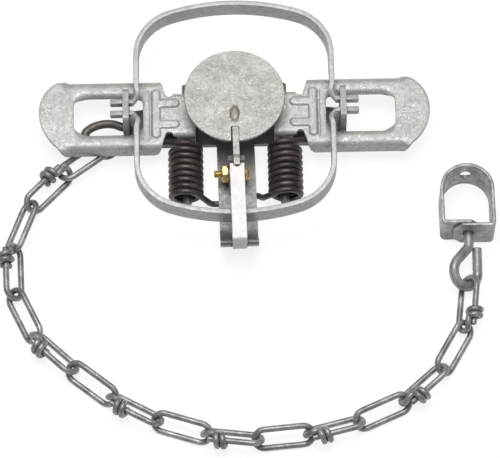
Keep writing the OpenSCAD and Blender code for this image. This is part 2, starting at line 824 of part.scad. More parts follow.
module lever() {
  color("lightgray") difference() {
    union() {
      translate([0, 0, web_z]) linear_extrude(lever_t) lever_outline();
      translate([0, 0, lever_z]) linear_extrude(rib_h) lever_ribs();
      for (side = [0, 1]) mirror([0, side, 0]) {
        rail();
        rail_land();
      }
      lever_ears();
    }
    translate([pin_x, 0, pin_z]) rod_y(pin_d + 2 * pin_clear, -neck_w, neck_w);
  }
}

module right_lever() {
  lever();
}

module left_lever() {
  mirror([1, 0, 0]) lever();
}

module spring_pin(side) {
  color("gray") translate([side * pin_x, 0, pin_z]) rod_y(pin_d, pin_front, pin_back);
}

module left_spring_pin() {
  spring_pin(-1);
}

module right_spring_pin() {
  spring_pin(1);
}

module spring() {
  last = len(SPRING) - 1;
  color([0.16, 0.13, 0.12]) polyhedron(
    points = tube_points(SPRING, spring_wire / 2),
    faces = concat(
      [for (i = [0:last - 1]) each ring_faces(i)],
      cap_faces(0, true),
      cap_faces(last * TUBE_SIDES, false)
    )
  );
}

module right_spring() {
  spring();
}

module left_spring() {
  mirror([1, 0, 0]) spring();
}

module chain_hook() {
  r = hook_wire / 2;
  color("saddlebrown") translate([-post_out, -hook_y, hook_z]) rotate([0, 0, 180]) {
    translate([-bar_t - hook_head_t, 0, 0]) {
      wire_line(r + 1.6, hook_head_t);
      wire_line(r, bar_t + hook_head_t);
    }
    wire_line(r, hook_lead);
    translate([hook_lead, 0, 0]) {
      wire_bend(r, hook_bend, HOOK_TURN);
      after_bend(hook_bend, HOOK_TURN) {
        wire_line(r, hook_run);
        translate([hook_run, 0, 0]) rotate([-HOOK_ROLL, 0, 0]) {
          wire_bend(r, hook_r, 180);
          after_bend(hook_r, 180) wire_line(r, hook_back);
        }
      }
    }
  }
}

// Two turns of the link's own wire around one of its legs
module link_knot(from_end) {
  for (i = [0, 1]) {
    translate([-link_l / 2 + from_end + i * KNOT_STEP, -link_half_w, 0]) rotate([0, 90, 0]) {
      rotate_extrude() translate([KNOT_R, 0]) circle(link_r);
    }
  }
}

// A closed loop of wire, lying flat along X
module link_loop() {
  leg = 2 * (link_half_l - link_half_w);
  for (turn = [0, 180]) rotate([0, 0, turn]) translate([-leg / 2, -link_half_w, 0]) {
    wire_line(link_r, leg);
    translate([leg, 0, 0]) wire_bend(link_r, link_half_w, 180);
  }
}

// Link number i lies on the ground, rolled half over, and every second one is closed by a knot
module chain_link(i) {
  roll = i == 1 ? FIRST_ROLL : LINK_ROLL;
  turn = LINK_TURNS[i - 1];
  color("gray") translate(link_mid(i)) rotate([0, 0, turn]) {
    rotate([i % 2 == 1 ? roll : -roll, 0, 0]) {
      link_loop();
      if (i % 2 == 0) link_knot(i == 2 ? first_knot_from_end : knot_from_end);
    }
  }
}

// Carries its children to the start of the straight shank in the strap, with +X along it
module at_shank() {
  translate(eye_shank) rotate([0, 0, EYE_HEADING]) children();
}

module swivel_eye() {
  r = eye_wire / 2;
  through = eye_neck + 2 * strap_t;
  color("darkgray") at_shank() {
    translate([-eye_mitre, 0, 0]) wire_line(r, eye_mitre + through + eye_head_t);
    translate([through, 0, 0]) wire_line(eye_head_d / 2, eye_head_t);
    rotate([0, 0, 180]) rotate([0, EYE_DIP, 0]) rotate([-EYE_ROLL, 0, 0]) mirror([0, 1, 0]) {
      translate([-eye_mitre, 0, 0]) wire_line(r, eye_mitre + eye_lead);
      translate([eye_lead, 0, 0]) {
        wire_bend(r, eye_bend, EYE_LEAN);
        after_bend(eye_bend, EYE_LEAN) {
          wire_line(r, eye_arm);
          translate([eye_arm, 0, 0]) mirror([0, 1, 0]) {
            wire_bend(r, eye_r, EYE_LEAN);
            after_bend(eye_r, EYE_LEAN) {
              wire_bend(r, eye_r, 180);
              after_bend(eye_r, 180) wire_line(r, eye_end);
            }
          }
        }
      }
    }
  }
}

// Loop of the strap seen from above, with its crown at +X and its flaps at the shank
module strap_outline(inset) {
  arch_x = flap_x + strap_l - strap_w / 2;
  translate([flap_x + inset, -strap_w / 2 + inset]) square([arch_x - flap_x - inset, strap_w - 2 * inset]);
  translate([arch_x, 0]) circle(strap_w / 2 - inset);
}

module swivel_strap() {
  shank_hole = eye_wire + 2 * eye_clear;
  flap_w = 0.62 * strap_w;
  color("darkgray") at_shank() difference() {
    union() {
      translate([0, 0, -strap_z]) linear_extrude(strap_h) difference() {
        strap_outline(0);
        strap_outline(strap_t);
      }
      translate([flap_x + strap_t, strap_w / 2 - flap_w, -strap_z]) {
        cube([strap_t, flap_w - strap_t, strap_h]);
      }
    }
    rotate([0, 90, 0]) cylinder(d = shank_hole, h = strap_l / 2);
    translate([flap_x + strap_l - strap_w / 2, 0, strap_h / 2 - strap_z]) {
      rotate([0, 90, 0]) cylinder(d = crown_d, h = strap_w);
    }
  }
}

base_frame();
crosspiece();
frame_rivets();
pan_bracket();
pan_plate();
pan_shank();
pan_screw();
pan_nut();
dog();
front_jaw();
rear_jaw();
left_lever();
right_lever();
left_spring_pin();
right_spring_pin();
left_spring();
right_spring();
chain_hook();
chain_link(1);  // chain_link_01
chain_link(2);  // chain_link_02
chain_link(3);  // chain_link_03
chain_link(4);  // chain_link_04
chain_link(5);  // chain_link_05
chain_link(6);  // chain_link_06
chain_link(7);  // chain_link_07
chain_link(8);  // chain_link_08
chain_link(9);  // chain_link_09
chain_link(10);  // chain_link_10
chain_link(11);  // chain_link_11
chain_link(12);  // chain_link_12
chain_link(13);  // chain_link_13
chain_link(14);  // chain_link_14
chain_link(15);  // chain_link_15
chain_link(16);  // chain_link_16
swivel_eye();
swivel_strap();
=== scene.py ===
"""Looks of a two-spring foothold trap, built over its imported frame.

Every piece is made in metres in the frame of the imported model. Sizes in the classes below are in
millimetres, as on a drawing, and are turned into metres where a mesh is made.
"""

import logging
from dataclasses import dataclass
from enum import Enum
from math import acos, asin, atan2, ceil, cos, degrees, hypot, pi, radians, sin, sqrt, tau
from typing import Callable, Dict, List, Optional, Sequence, Tuple

import bmesh
import bpy
from mathutils import Matrix, Vector
from mathutils.geometry import delaunay_2d_cdt


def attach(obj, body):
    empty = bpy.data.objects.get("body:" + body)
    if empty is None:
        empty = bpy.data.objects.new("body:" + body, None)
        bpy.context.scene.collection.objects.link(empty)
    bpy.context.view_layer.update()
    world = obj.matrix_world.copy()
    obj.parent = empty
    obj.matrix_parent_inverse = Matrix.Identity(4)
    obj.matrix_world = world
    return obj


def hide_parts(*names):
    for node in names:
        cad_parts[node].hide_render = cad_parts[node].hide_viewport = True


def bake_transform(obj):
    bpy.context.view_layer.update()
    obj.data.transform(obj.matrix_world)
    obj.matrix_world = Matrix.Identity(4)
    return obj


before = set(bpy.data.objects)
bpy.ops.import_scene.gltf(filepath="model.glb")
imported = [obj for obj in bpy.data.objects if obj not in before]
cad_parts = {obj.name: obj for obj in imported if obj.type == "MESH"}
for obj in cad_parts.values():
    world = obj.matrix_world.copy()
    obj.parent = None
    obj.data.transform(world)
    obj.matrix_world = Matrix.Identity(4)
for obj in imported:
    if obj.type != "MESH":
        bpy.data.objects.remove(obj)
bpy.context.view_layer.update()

LOG = logging.getLogger("trap")
MM = 0.001
UP = Vector((0, 0, 1))
# Lean of the crosspiece and of what stands on it, about the trap's middle
SKEW = Matrix.Rotation(radians(1.0), 4, "Z")

Point2 = Tuple[float, float]
Point3 = Tuple[float, float, float]
Colour = Point3
Ring = List[Vector]
Mesh = bmesh.types.BMesh
Material = bpy.types.Material
Socket = bpy.types.NodeSocket


class Side(Enum):
    """The trap's two ends, with the sign of X at each."""

    LEFT = -1
    RIGHT = 1

    @property
    def word(self) -> str:
        """The side's name in node and body names."""
        return self.name.lower()


class Jaw(Enum):
    """The two jaws, with the sign of Y at each."""

    FRONT = -1
    REAR = 1

    @property
    def word(self) -> str:
        """The jaw's node and body name."""
        return f"{self.name.lower()}_jaw"


# Points and lines


def smooth_step(low: float, high: float, x: float) -> float:
    """Eased share of the way of x from low to high, between 0 and 1."""
    t = min(1.0, max(0.0, (x - low) / (high - low)))
    return t * t * (3.0 - 2.0 * t)


def at(x: float = 0.0, y: float = 0.0, z: float = 0.0) -> Vector:
    """A place or a direction."""
    return Vector((x, y, z))


def ahead(heading: float) -> Vector:
    """Direction on the ground, in degrees anticlockwise from +X."""
    return at(cos(radians(heading)), sin(radians(heading)))


def left_of(heading: float) -> Vector:
    """Direction on the ground to the left of a heading in degrees."""
    return at(-sin(radians(heading)), cos(radians(heading)))


def flat_arc(middle: Point2, radii: Point2, start: float, end: float, steps: int) -> List[Point2]:
    """Points of a flat arc between two angles in degrees, both ends included."""
    angles = [radians(start + (end - start) * k / steps) for k in range(steps + 1)]
    return [(middle[0] + radii[0] * cos(a), middle[1] + radii[1] * sin(a)) for a in angles]


def circle_section(radius: float, sides: int) -> List[Point2]:
    """Points of a round section, anticlockwise."""
    return flat_arc((0.0, 0.0), (radius, radius), 0, 360, sides)[:-1]


def round_box_section(width: float, height: float, radius: float, steps: int) -> List[Point2]:
    """Points of a rectangle with round corners, about its middle.

    Args:
        width: Full size along the first axis, in millimetres.
        height: Full size along the second axis, in millimetres.
        radius: Corner radius in millimetres.
        steps: Faces on each corner.

    Returns:
        The points, anticlockwise.
    """
    points: List[Point2] = []
    for quarter, (sx, sy) in enumerate(((1, 1), (-1, 1), (-1, -1), (1, -1))):
        middle = (sx * (width / 2 - radius), sy * (height / 2 - radius))
        points += flat_arc(middle, (radius, radius), 90 * quarter, 90 * quarter + 90, steps)
    return points


def straight(start: Vector, end: Vector, steps: int) -> List[Vector]:
    """Points from start to end in equal steps, both ends included."""
    return [start.lerp(end, k / steps) for k in range(steps + 1)]


def arc_points(middle: Vector, start: Vector, side: Vector, turn: float, steps: int) -> List[Vector]:
    """Points of an arc from middle + start, by a turn in degrees towards middle + side."""
    angles = [radians(turn * k / steps) for k in range(steps + 1)]
    return [middle + start * cos(a) + side * sin(a) for a in angles]


def smooth_line(points: Sequence[Vector], steps: int) -> List[Vector]:
    """A rounded line through points.

    Args:
        points: What it passes through.
        steps: Parts between two of them.

    Returns:
        Points of the line.
    """
    made: List[Vector] = []
    for i in range(len(points) - 1):
        p0, p1, p2 = points[max(0, i - 1)], points[i], points[i + 1]
        p3 = points[min(len(points) - 1, i + 2)]
        for t in (k / steps for k in range(steps)):
            square = (2 * p0 - 5 * p1 + 4 * p2 - p3) * t * t
            cube = (3 * p1 - p0 - 3 * p2 + p3) * t * t * t
            made.append(0.5 * (2 * p1 + (p2 - p0) * t + square + cube))
    return made + [points[-1].copy()]


# Meshes

# A wire's rounded end: length in radii, place of its middle ring, and shares of the radius
END_LENGTH, END_MIDDLE, END_SHARES = 0.22, 0.3, (0.78, 0.93)
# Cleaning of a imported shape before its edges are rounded: metres and degrees
MERGE_DISTANCE, FLAT_DEG, EDGE_DEG = 2e-6, 0.6, 30.0


def path_frames(path: Sequence[Vector], closed: bool, up: Optional[Vector]) -> List[Tuple[Vector, Vector]]:
    """Two cross directions at each point of a path, carried along it without twist.

    Args:
        path: The points.
        closed: Whether the last point joins the first.
        up: What the first cross direction keeps to all along, if anything.

    Returns:
        A pair of unit vectors square to the path, for each point.
    """
    count = len(path)
    frames: List[Tuple[Vector, Vector]] = []
    normal: Optional[Vector] = None
    last: Optional[Vector] = None
    for i in range(count):
        after = path[(i + 1) % count] if closed or i + 1 < count else path[i]
        before = path[i - 1] if closed or i > 0 else path[i]
        tangent = (after - before).normalized()
        if up is not None:
            normal = up
        elif normal is None or last is None:
            normal = UP if abs(tangent.z) < 0.9 else at(1)
        else:
            normal = last.rotation_difference(tangent) @ normal
        normal = (normal - tangent * normal.dot(tangent)).normalized()
        last = tangent
        frames.append((normal, tangent.cross(normal)))
    return frames


def join_rings(bm: Mesh, rings: Sequence[Ring], closed: bool) -> None:
    """Skins a row of rings with quads, and closes its open ends.

    Args:
        bm: The mesh that is added to.
        rings: Rings of points in metres, all of one length.
        closed: Whether the last ring joins the first.
    """
    made = [[bm.verts.new(p) for p in ring] for ring in rings]
    size = len(rings[0])
    for i in range(len(made) if closed else len(made) - 1):
        a, b = made[i], made[(i + 1) % len(made)]
        for k in range(size):
            bm.faces.new((a[k], a[(k + 1) % size], b[(k + 1) % size], b[k]))
    if not closed:
        bm.faces.new(list(reversed(made[0])))
        bm.faces.new(made[-1])


def sweep(bm: Mesh, path: Sequence[Vector], section: Callable[[int], List[Point2]],
          closed: bool = False, up: Optional[Vector] = None) -> None:
    """Draws a section along a path.

    Args:
        bm: The mesh that is added to.
        path: Points in millimetres.
        section: Gives the section's points, in millimetres, at each point of the path.
        closed: Whether the path is a loop.
        up: Direction that the section's first axis keeps to, if any.
    """
    frames = path_frames(path, closed, up)
    rings = [[(p + a * u + b * v) * MM for u, v in section(i)]
             for i, (p, (a, b)) in enumerate(zip(path, frames))]
    join_rings(bm, rings, closed)


def wire(bm: Mesh, path: Sequence[Vector], radius: float, sides: int, closed: bool = False) -> None:
    """Draws a round wire whose open ends are slightly rounded off.

    Args:
        bm: The mesh that is added to.
        path: Points of its middle in millimetres.
        radius: Wire radius in millimetres.
        sides: Faces around it.
        closed: Whether it is a loop.
    """
    if closed:
        sweep(bm, path, lambda i: circle_section(radius, sides), True)
        return
    first, last = (path[1] - path[0]).normalized(), (path[-2] - path[-1]).normalized()
    edge = END_LENGTH * radius
    line = [path[0], path[0] + first * edge * END_MIDDLE, path[0] + first * edge]
    line += list(path[1:-1])
    line += [path[-1] + last * edge, path[-1] + last * edge * END_MIDDLE, path[-1]]
    shares = [*END_SHARES] + [1.0] * (len(line) - 4) + [*reversed(END_SHARES)]
    sweep(bm, line, lambda i: circle_section(radius * shares[i], sides))


def softened(node: str, edge: float, steps: int = 2) -> Mesh:
    """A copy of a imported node's shape with its edges rounded off.

    Args:
        node: The node's name.
        edge: Width of the rounding in millimetres.
        steps: Faces across it.

    Returns:
        The new mesh, in metres.
    """
    bm = bmesh.new()
    bm.from_mesh(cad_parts[node].data)
    bmesh.ops.remove_doubles(bm, verts=bm.verts, dist=MERGE_DISTANCE)
    bmesh.ops.dissolve_limit(bm, angle_limit=radians(FLAT_DEG), verts=bm.verts, edges=bm.edges)
    limit = radians(EDGE_DEG)
    edges = [e for e in bm.edges if len(e.link_faces) == 2 and e.calc_face_angle(0.0) > limit]
    bmesh.ops.bevel(bm, geom=edges, offset=edge * MM, offset_type="OFFSET", segments=steps, profile=0.5,
                    affect="EDGES", clamp_overlap=True, harden_normals=False)
    return bm


def askew(bm: Mesh) -> Mesh:
    """Leans a mesh with the crosspiece and returns it."""
    bmesh.ops.transform(bm, matrix=SKEW, verts=bm.verts)
    return bm


@dataclass(frozen=True)
class FoldedSheet:
    """Sheet metal that is cut out flat, folded and given its thickness with a rounded rim.

    Sizes are in millimetres. The rim's corners are drawn in two steps, by shares of its radius.
    """

    thickness: float
    rim: float
    step: float
    corner: Point2 = (0.71, 0.29)

    @staticmethod
    def sides(loop: Sequence[Point2]) -> List[Tuple[Point2, Point2]]:
        """The ends of each side of a closed outline."""
        return list(zip(loop, list(loop[1:]) + [loop[0]]))

    def inside(self, x: float, v: float, loop: Sequence[Point2]) -> bool:
        """Whether a place lies inside an outline."""
        crossed = [x < x0 + (v - v0) * (x1 - x0) / (v1 - v0)
                   for (x0, v0), (x1, v1) in self.sides(loop) if (v0 > v) != (v1 > v)]
        return sum(crossed) % 2 == 1

    def spaced(self, loop: Sequence[Point2]) -> List[Point2]:
        """A closed outline with points added where they lie further apart than a step.

        Args:
            loop: The outline.

        Returns:
            Its points, with those added.
        """
        made: List[Point2] = []
        for (x0, v0), (x1, v1) in self.sides(loop):
            parts = max(1, ceil(hypot(x1 - x0, v1 - v0) / self.step))
            made += [(x0 + (x1 - x0) * k / parts, v0 + (v1 - v0) * k / parts) for k in range(parts)]
        return made

    def mesh(self, outer: Sequence[Point2], holes: Sequence[Sequence[Point2]], spots: Sequence[Point2],
             fold: Callable[[float, float], Vector]) -> Mesh:
        """Cuts and folds a sheet.

        Args:
            outer: Its outline.
            holes: Outlines of its holes.
            spots: Further points on the flat sheet.
            fold: Gives the place of a flat point on the folded sheet's outer face.

        Returns:
            The mesh, in millimetres.
        """
        flat, edges = [], []
        for loop in (outer, *holes):
            first = len(flat)
            flat += list(loop)
            edges += [(first + i, first + (i + 1) % len(loop)) for i in range(len(loop))]
        flat += list(spots)
        places, _, faces, _, _, _ = delaunay_2d_cdt([Vector(p) for p in flat], edges, [], 0, 1e-6)
        bm = bmesh.new()
        top = [bm.verts.new(fold(p.x, p.y)) for p in places]
        for a, b, c in faces:
            x, v = (places[a] + places[b] + places[c]) / 3
            if not self.inside(x, v, outer) or any(self.inside(x, v, hole) for hole in holes):
                continue
            turns_left = (places[b] - places[a]).cross(places[c] - places[a]) > 0
            bm.faces.new((top[a], top[b], top[c]) if turns_left else (top[a], top[c], top[b]))
        bmesh.ops.delete(bm, geom=[v for v in bm.verts if not v.link_faces], context="VERTS")
        bm.normal_update()
        self.thicken(bm)
        return bm

    def thicken(self, bm: Mesh) -> None:
        """Gives a folded sheet its thickness behind its outer face, and a rounded rim.

        Args:
            bm: The sheet.
        """
        sheet, rim_edges = list(bm.faces), [e for e in bm.edges if len(e.link_faces) == 1]
        normals = {v: v.normal.copy() for v in bm.verts}
        under = {v: bm.verts.new(v.co - normals[v] * self.thickness) for v in list(bm.verts)}
        outward: Dict[bmesh.types.BMVert, Vector] = {}
        for edge in rim_edges:
            face, (a, b) = edge.link_faces[0], edge.verts
            away = (a.co + b.co) / 2 - face.calc_center_median()
            line = (b.co - a.co).normalized()
            away = (away - line * away.dot(line) - face.normal * away.dot(face.normal)).normalized()
            for v in edge.verts:
                outward[v] = outward.get(v, Vector()) + away
        for f in sheet:
            bm.faces.new([under[v] for v in reversed(f.verts)])
        r, t = self.rim, self.thickness
        out, down = self.corner[0] * r, self.corner[1] * r
        profile = ((out, down), (r, r), (r, t - r), (out, t - down))
        rows = {}
        for v, way in outward.items():
            skin = [bm.verts.new(v.co + way.normalized() * x - normals[v] * z) for x, z in profile]
            rows[v] = [v, *skin, under[v]]
        for edge in rim_edges:
            a, b = rows[edge.verts[0]], rows[edge.verts[1]]
            for k in range(len(a) - 1):
                bm.faces.new((a[k], a[k + 1], b[k + 1], b[k]))


# Finishes


@dataclass(frozen=True)
class Grain:
    """A layer of noise: scale against the finish's own, finer layers and their strength, range in use."""

    scale: float = 1.0
    detail: float = 3.0
    rough: float = 0.55
    edge: Point2 = (0.3, 0.7)


PLAIN, CLOUD = Grain(), Grain(1.0, 4.0, 0.6, (0.32, 0.66))
PATCHES, DRIFTS = Grain(1.7, 5.0, 0.65, (0.56, 0.74)), Grain(1.2, 3.0, 0.6, (0.42, 0.62))
PITS, FLAKES = Grain(1.0, 2.0, 0.7, (0.66, 0.76)), Grain(0.9, 2.0, 0.75, (0.55, 0.64))
SPECKS, SHEEN = Grain(0.8, 3.0, 0.7, (0.3, 0.62)), Grain(0.35, 3.0, 0.6)
# Open sky share from a full hollow to none, and how far its shade reaches in metres
HOLLOW_EDGE, GROOVE_EDGE, HOLLOW_REACH = (0.35, 0.85), (0.25, 0.75), 0.006
# Size of the spangle against the speckle, and its darkest and palest tone
SPANGLE_SCALE, SPANGLE_TONE = 0.55, (0.84, 1.12)
# Colour of the dark pits, also that of the painted shade in hollows, and colour of the pale frost
PIT_AND_SHADE_COLOUR, FROST_COLOUR = (0.10, 0.095, 0.09), (0.93, 0.92, 0.905)
# Bump of pits and spangle: shares of height, depth in millimetres and strength
PIT_HEIGHT, SPANGLE_HEIGHT, GRAIN_MM, GRAIN_STRENGTH = -0.7, 0.3, 0.05, 0.6


class NodeSheet:
    """A material's node tree, with short ways to add nodes to it."""

    def __init__(self, name: str) -> None:
        """Makes a material of that name with a surface shader.

        Args:
            name: The material's name.
        """
        self.material = bpy.data.materials.new(name)
        self.material.use_nodes = True
        self.tree = self.material.node_tree
        self.shader = next(n for n in self.tree.nodes if n.type == "BSDF_PRINCIPLED")

    def feed(self, target: bpy.types.Node, feeds: Dict[object, object]) -> None:
        """Links sockets to a node's inputs, or sets the inputs.

        Args:
            target: The node.
            feeds: Sockets, numbers or colours, by the input's name or place.
        """
        for key, value in feeds.items():
            if isinstance(value, Socket):
                self.tree.links.new(value, target.inputs[key])
            else:
                target.inputs[key].default_value = value

    def node(self, kind: str, feeds: Dict[object, object], **values: object) -> bpy.types.Node:
        """Adds a node.

        Args:
            kind: Its type name.
            feeds: What its inputs get.
            values: Its properties.

        Returns:
            The node.
        """
        made = self.tree.nodes.new(kind)
        for key, value in values.items():
            setattr(made, key, value)
        self.feed(made, feeds)
        return made

    def place(self) -> Socket:
        """Position in the piece's own space, in metres."""
        return self.node("ShaderNodeTexCoord", {}).outputs["Object"]

    def noise(self, per_metre: float, grain: Grain) -> Socket:
        """Cloudy noise, for a finish with so many features to a metre."""
        feeds = {"Scale": per_metre * grain.scale, "Detail": grain.detail, "Roughness": grain.rough}
        return self.node("ShaderNodeTexNoise", {**feeds, "Vector": self.place()}).outputs["Fac"]

    def spread(self, per_metre: float, grain: Grain, low: float, high: float) -> Socket:
        """Cloudy noise whose range in use is moved to another."""
        return self.band(self.noise(per_metre, grain), grain.edge, low, high)

    def cells(self, per_metre: float) -> Socket:
        """Random value of each of many small cells."""
        cells = self.node("ShaderNodeTexVoronoi", {"Scale": per_metre, "Vector": self.place()}, feature="F1")
        return self.node("ShaderNodeSeparateColor", {"Color": cells.outputs["Color"]}).outputs["Red"]

    def ramp(self, value: Socket, edge: Point2, low: Colour, high: Colour) -> Socket:
        """A colour that goes over to another.

        Args:
            value: What it reads.
            edge: Values where the change starts and ends.
            low: First colour.
            high: Second colour.

        Returns:
            The colour.
        """
        ramp = self.node("ShaderNodeValToRGB", {"Fac": value})
        for i, colour in enumerate((low, high)):
            ramp.color_ramp.elements[i].position = edge[i]
            ramp.color_ramp.elements[i].color = (*colour, 1.0)
        return ramp.outputs["Color"]

    def band(self, value: Socket, edge: Point2, low: float, high: float) -> Socket:
        """A value moved from a range to another, eased and held at both ends."""
        feeds = {"Value": value, "From Min": edge[0], "From Max": edge[1], "To Min": low, "To Max": high}
        return self.node("ShaderNodeMapRange", feeds, interpolation_type="SMOOTHSTEP").outputs["Result"]

    def mix(self, share: object, a: Socket, b: object, blend: str = "MIX") -> Socket:
        """A colour mixed with a share of another, which is a socket or a colour."""
        feeds = {0: share, 6: a, 7: b if isinstance(b, Socket) else (*b, 1.0)}
        return self.node("ShaderNodeMix", feeds, data_type="RGBA", blend_type=blend).outputs[2]

    def maths(self, kind: str, a: Socket, b: object) -> Socket:
        """One sum on a socket and a number or another socket."""
        return self.node("ShaderNodeMath", {0: a, 1: b}, operation=kind).outputs[0]

    def vectors(self, kind: str, a: Socket, b: Sequence[float] = (0, 0, 0)) -> bpy.types.NodeOutputs:
        """One sum on a socket and a vector."""
        return self.node("ShaderNodeVectorMath", {0: a, 1: b}, operation=kind).outputs

    def axis(self, name: str) -> Socket:
        """One coordinate of the place in the piece's own space, in metres."""
        return self.node("ShaderNodeSeparateXYZ", {0: self.place()}).outputs[name]

    def distance(self, point: Point3, stretch: Point3) -> Socket:
        """Distance in metres from a point given in millimetres, with the axes stretched."""
        apart = self.vectors("SUBTRACT", self.place(), Vector(point) * MM)["Vector"]
        return self.vectors("LENGTH", self.vectors("MULTIPLY", apart, stretch)["Vector"])["Value"]

    def hollows(self) -> Socket:
        """Open sky share of the surface, low in corners and gaps."""
        return self.node("ShaderNodeAmbientOcclusion", {"Distance": HOLLOW_REACH}, samples=8).outputs["AO"]

    def surface(self, colour: Socket, rough: Socket, metal: float) -> None:
        """Gives the shader its colour, roughness and metal share."""
        self.feed(self.shader, {"Base Color": colour, "Roughness": rough, "Metallic": metal})

    def bump(self, height: Socket, depth_mm: float, strength: float) -> None:
        """Gives the shader a bump, from a height between 0 and 1 and the depth that 1 stands for."""
        feeds = {"Strength": strength, "Distance": depth_mm * MM, "Height": height}
        self.feed(self.shader, {"Normal": self.node("ShaderNodeBump", feeds).outputs["Normal"]})


@dataclass(frozen=True)
class Wear:
    """A paler, speckled tone along one axis, in millimetres: partly the steel's own, partly painted light,
    with painted shade where it fades back.
    """

    axis: str
    edge: Point2
    colour: Colour
    fade: Optional[Point2] = None
    most: float = 0.9
    faded: float = 0.15
    between: float = 0.35
    ragged: float = 3.0

    def over(self, sheet: NodeSheet, colour: Socket, cloud: Socket, speckle: float) -> Socket:
        """Draws the paler band, partly painted light, over a finish.

        Args:
            sheet: The finish's nodes.
            colour: Its colour so far.
            cloud: Its cloudy noise.
            speckle: Specks to a metre.

        Returns:
            The new colour.
        """
        shift = sheet.band(cloud, PLAIN.edge, -self.ragged * MM, self.ragged * MM)
        along = sheet.maths("ADD", sheet.axis(self.axis), shift)
        share = sheet.band(along, (self.edge[0] * MM, self.edge[1] * MM), 0.0, self.most)
        if self.fade is not None:
            rest = sheet.band(along, (self.fade[0] * MM, self.fade[1] * MM), 1.0, self.faded)
            share = sheet.maths("MULTIPLY", share, rest)
        specks = sheet.spread(speckle, SPECKS, self.between, 1.0)
        return sheet.mix(sheet.maths("MULTIPLY", share, specks), colour, self.colour)


@dataclass(frozen=True)
class HeatRing:
    """Brown heat ring with a paler halo, where the shank is riveted into the pan. Bands are in metres."""

    spot: Point3
    stretch: Point3 = (1.0, 0.56, 1.0)
    brown: Colour = (0.19, 0.155, 0.14)
    halo: Colour = (0.47, 0.42, 0.385)
    halo_edge: Point2 = (0.0026, 0.0065)
    halo_share: float = 0.3
    inner_edge: Point2 = (0.0012, 0.0022)
    inner_share: Point2 = (0.4, 0.85)
    outer_edge: Point2 = (0.0025, 0.0030)
    ragged: float = 0.0004
    frays: float = 900.0

    def over(self, sheet: NodeSheet, colour: Socket) -> Socket:
        """Draws the ring over a finish.

        Args:
            sheet: The finish's nodes.
            colour: Its colour so far.

        Returns:
            The new colour.
        """
        shift = sheet.spread(self.frays, Grain(detail=4.0), -self.ragged, self.ragged)
        near = sheet.maths("ADD", sheet.distance(self.spot, self.stretch), shift)
        colour = sheet.mix(sheet.band(near, self.halo_edge, self.halo_share, 0.0), colour, self.halo)
        inner = sheet.band(near, self.inner_edge, *self.inner_share)
        outer = sheet.band(near, self.outer_edge, 1.0, 0.0)
        return sheet.mix(sheet.maths("MULTIPLY", inner, outer), colour, self.brown)


@dataclass(frozen=True)
class SteelFinish:
    """Steel with cloudy tone, fine spangle, dark pits and painted shade in hollows, and stain, frost and a
    paler band, partly painted light, where given.
    """

    name: str
    pale: Colour
    dark: Colour
    pit_share: float = 0.36
    speckle: float = 1400.0
    cloud: float = 60.0
    rough: Point2 = (0.34, 0.58)
    metal: float = 0.3
    stain: Optional[Colour] = None
    stain_share: float = 0.0
    # Share of painted shade that darkens hollows, corners and gaps
    grime: float = 0.55
    # Paler speckled band, partly the steel's own tone and partly painted light and shade
    worn: Optional[Wear] = None
    frost: float = 0.0
    spangle: float = 0.55
    heat: Optional[HeatRing] = None

    def tone(self, sheet: NodeSheet, cloud: Socket, spangle: Socket) -> Socket:
        """The steel's colour without its pits and its painted shade in hollows.

        Args:
            sheet: The material's nodes.
            cloud: Its cloudy noise.
            spangle: Its spangle's cells.

        Returns:
            The colour.
        """
        colour = sheet.ramp(cloud, CLOUD.edge, self.dark, self.pale)
        light = sheet.band(spangle, (0.0, 1.0), *SPANGLE_TONE)
        grey = sheet.node("ShaderNodeCombineColor", {"Red": light, "Green": light, "Blue": light})
        colour = sheet.mix(self.spangle, colour, grey.outputs["Color"], "MULTIPLY")
        if self.stain is not None:
            colour = sheet.mix(sheet.spread(self.cloud, PATCHES, 0.0, self.stain_share), colour, self.stain)
        # Paler speckled band: partly the steel's own tone, partly painted light and shade
        if self.worn is not None:
            colour = self.worn.over(sheet, colour, cloud, self.speckle)
        if self.frost > 0:
            drifts = sheet.spread(self.cloud, DRIFTS, 0.25, 1.0)
            flakes = sheet.maths("MULTIPLY", sheet.spread(self.speckle, FLAKES, 0.0, 1.0), drifts)
            colour = sheet.mix(sheet.maths("MULTIPLY", flakes, self.frost), colour, FROST_COLOUR)
        return colour

    def build(self) -> Material:
        """Makes the finish.

        Returns:
            The material.
        """
        sheet = NodeSheet(self.name)
        cloud, pits = sheet.noise(self.cloud, CLOUD), sheet.noise(self.speckle, PITS)
        spangle = sheet.cells(self.speckle * SPANGLE_SCALE)
        colour = self.tone(sheet, cloud, spangle)
        colour = sheet.mix(sheet.band(pits, PITS.edge, 0.0, self.pit_share), colour, PIT_AND_SHADE_COLOUR)
        # Painted shade: hollows, corners and gaps darkened towards the pit colour by ambient occlusion
        colour = sheet.mix(sheet.band(sheet.hollows(), HOLLOW_EDGE, self.grime, 0.0), colour, PIT_AND_SHADE_COLOUR)
        if self.heat is not None:
            colour = self.heat.over(sheet, colour)
        sheet.surface(colour, sheet.spread(self.speckle, SHEEN, *self.rough), self.metal)
        grain = sheet.maths("ADD", sheet.maths("MULTIPLY", pits, PIT_HEIGHT),
                            sheet.maths("MULTIPLY", spangle, SPANGLE_HEIGHT))
        sheet.bump(grain, GRAIN_MM, GRAIN_STRENGTH)
        return sheet.material


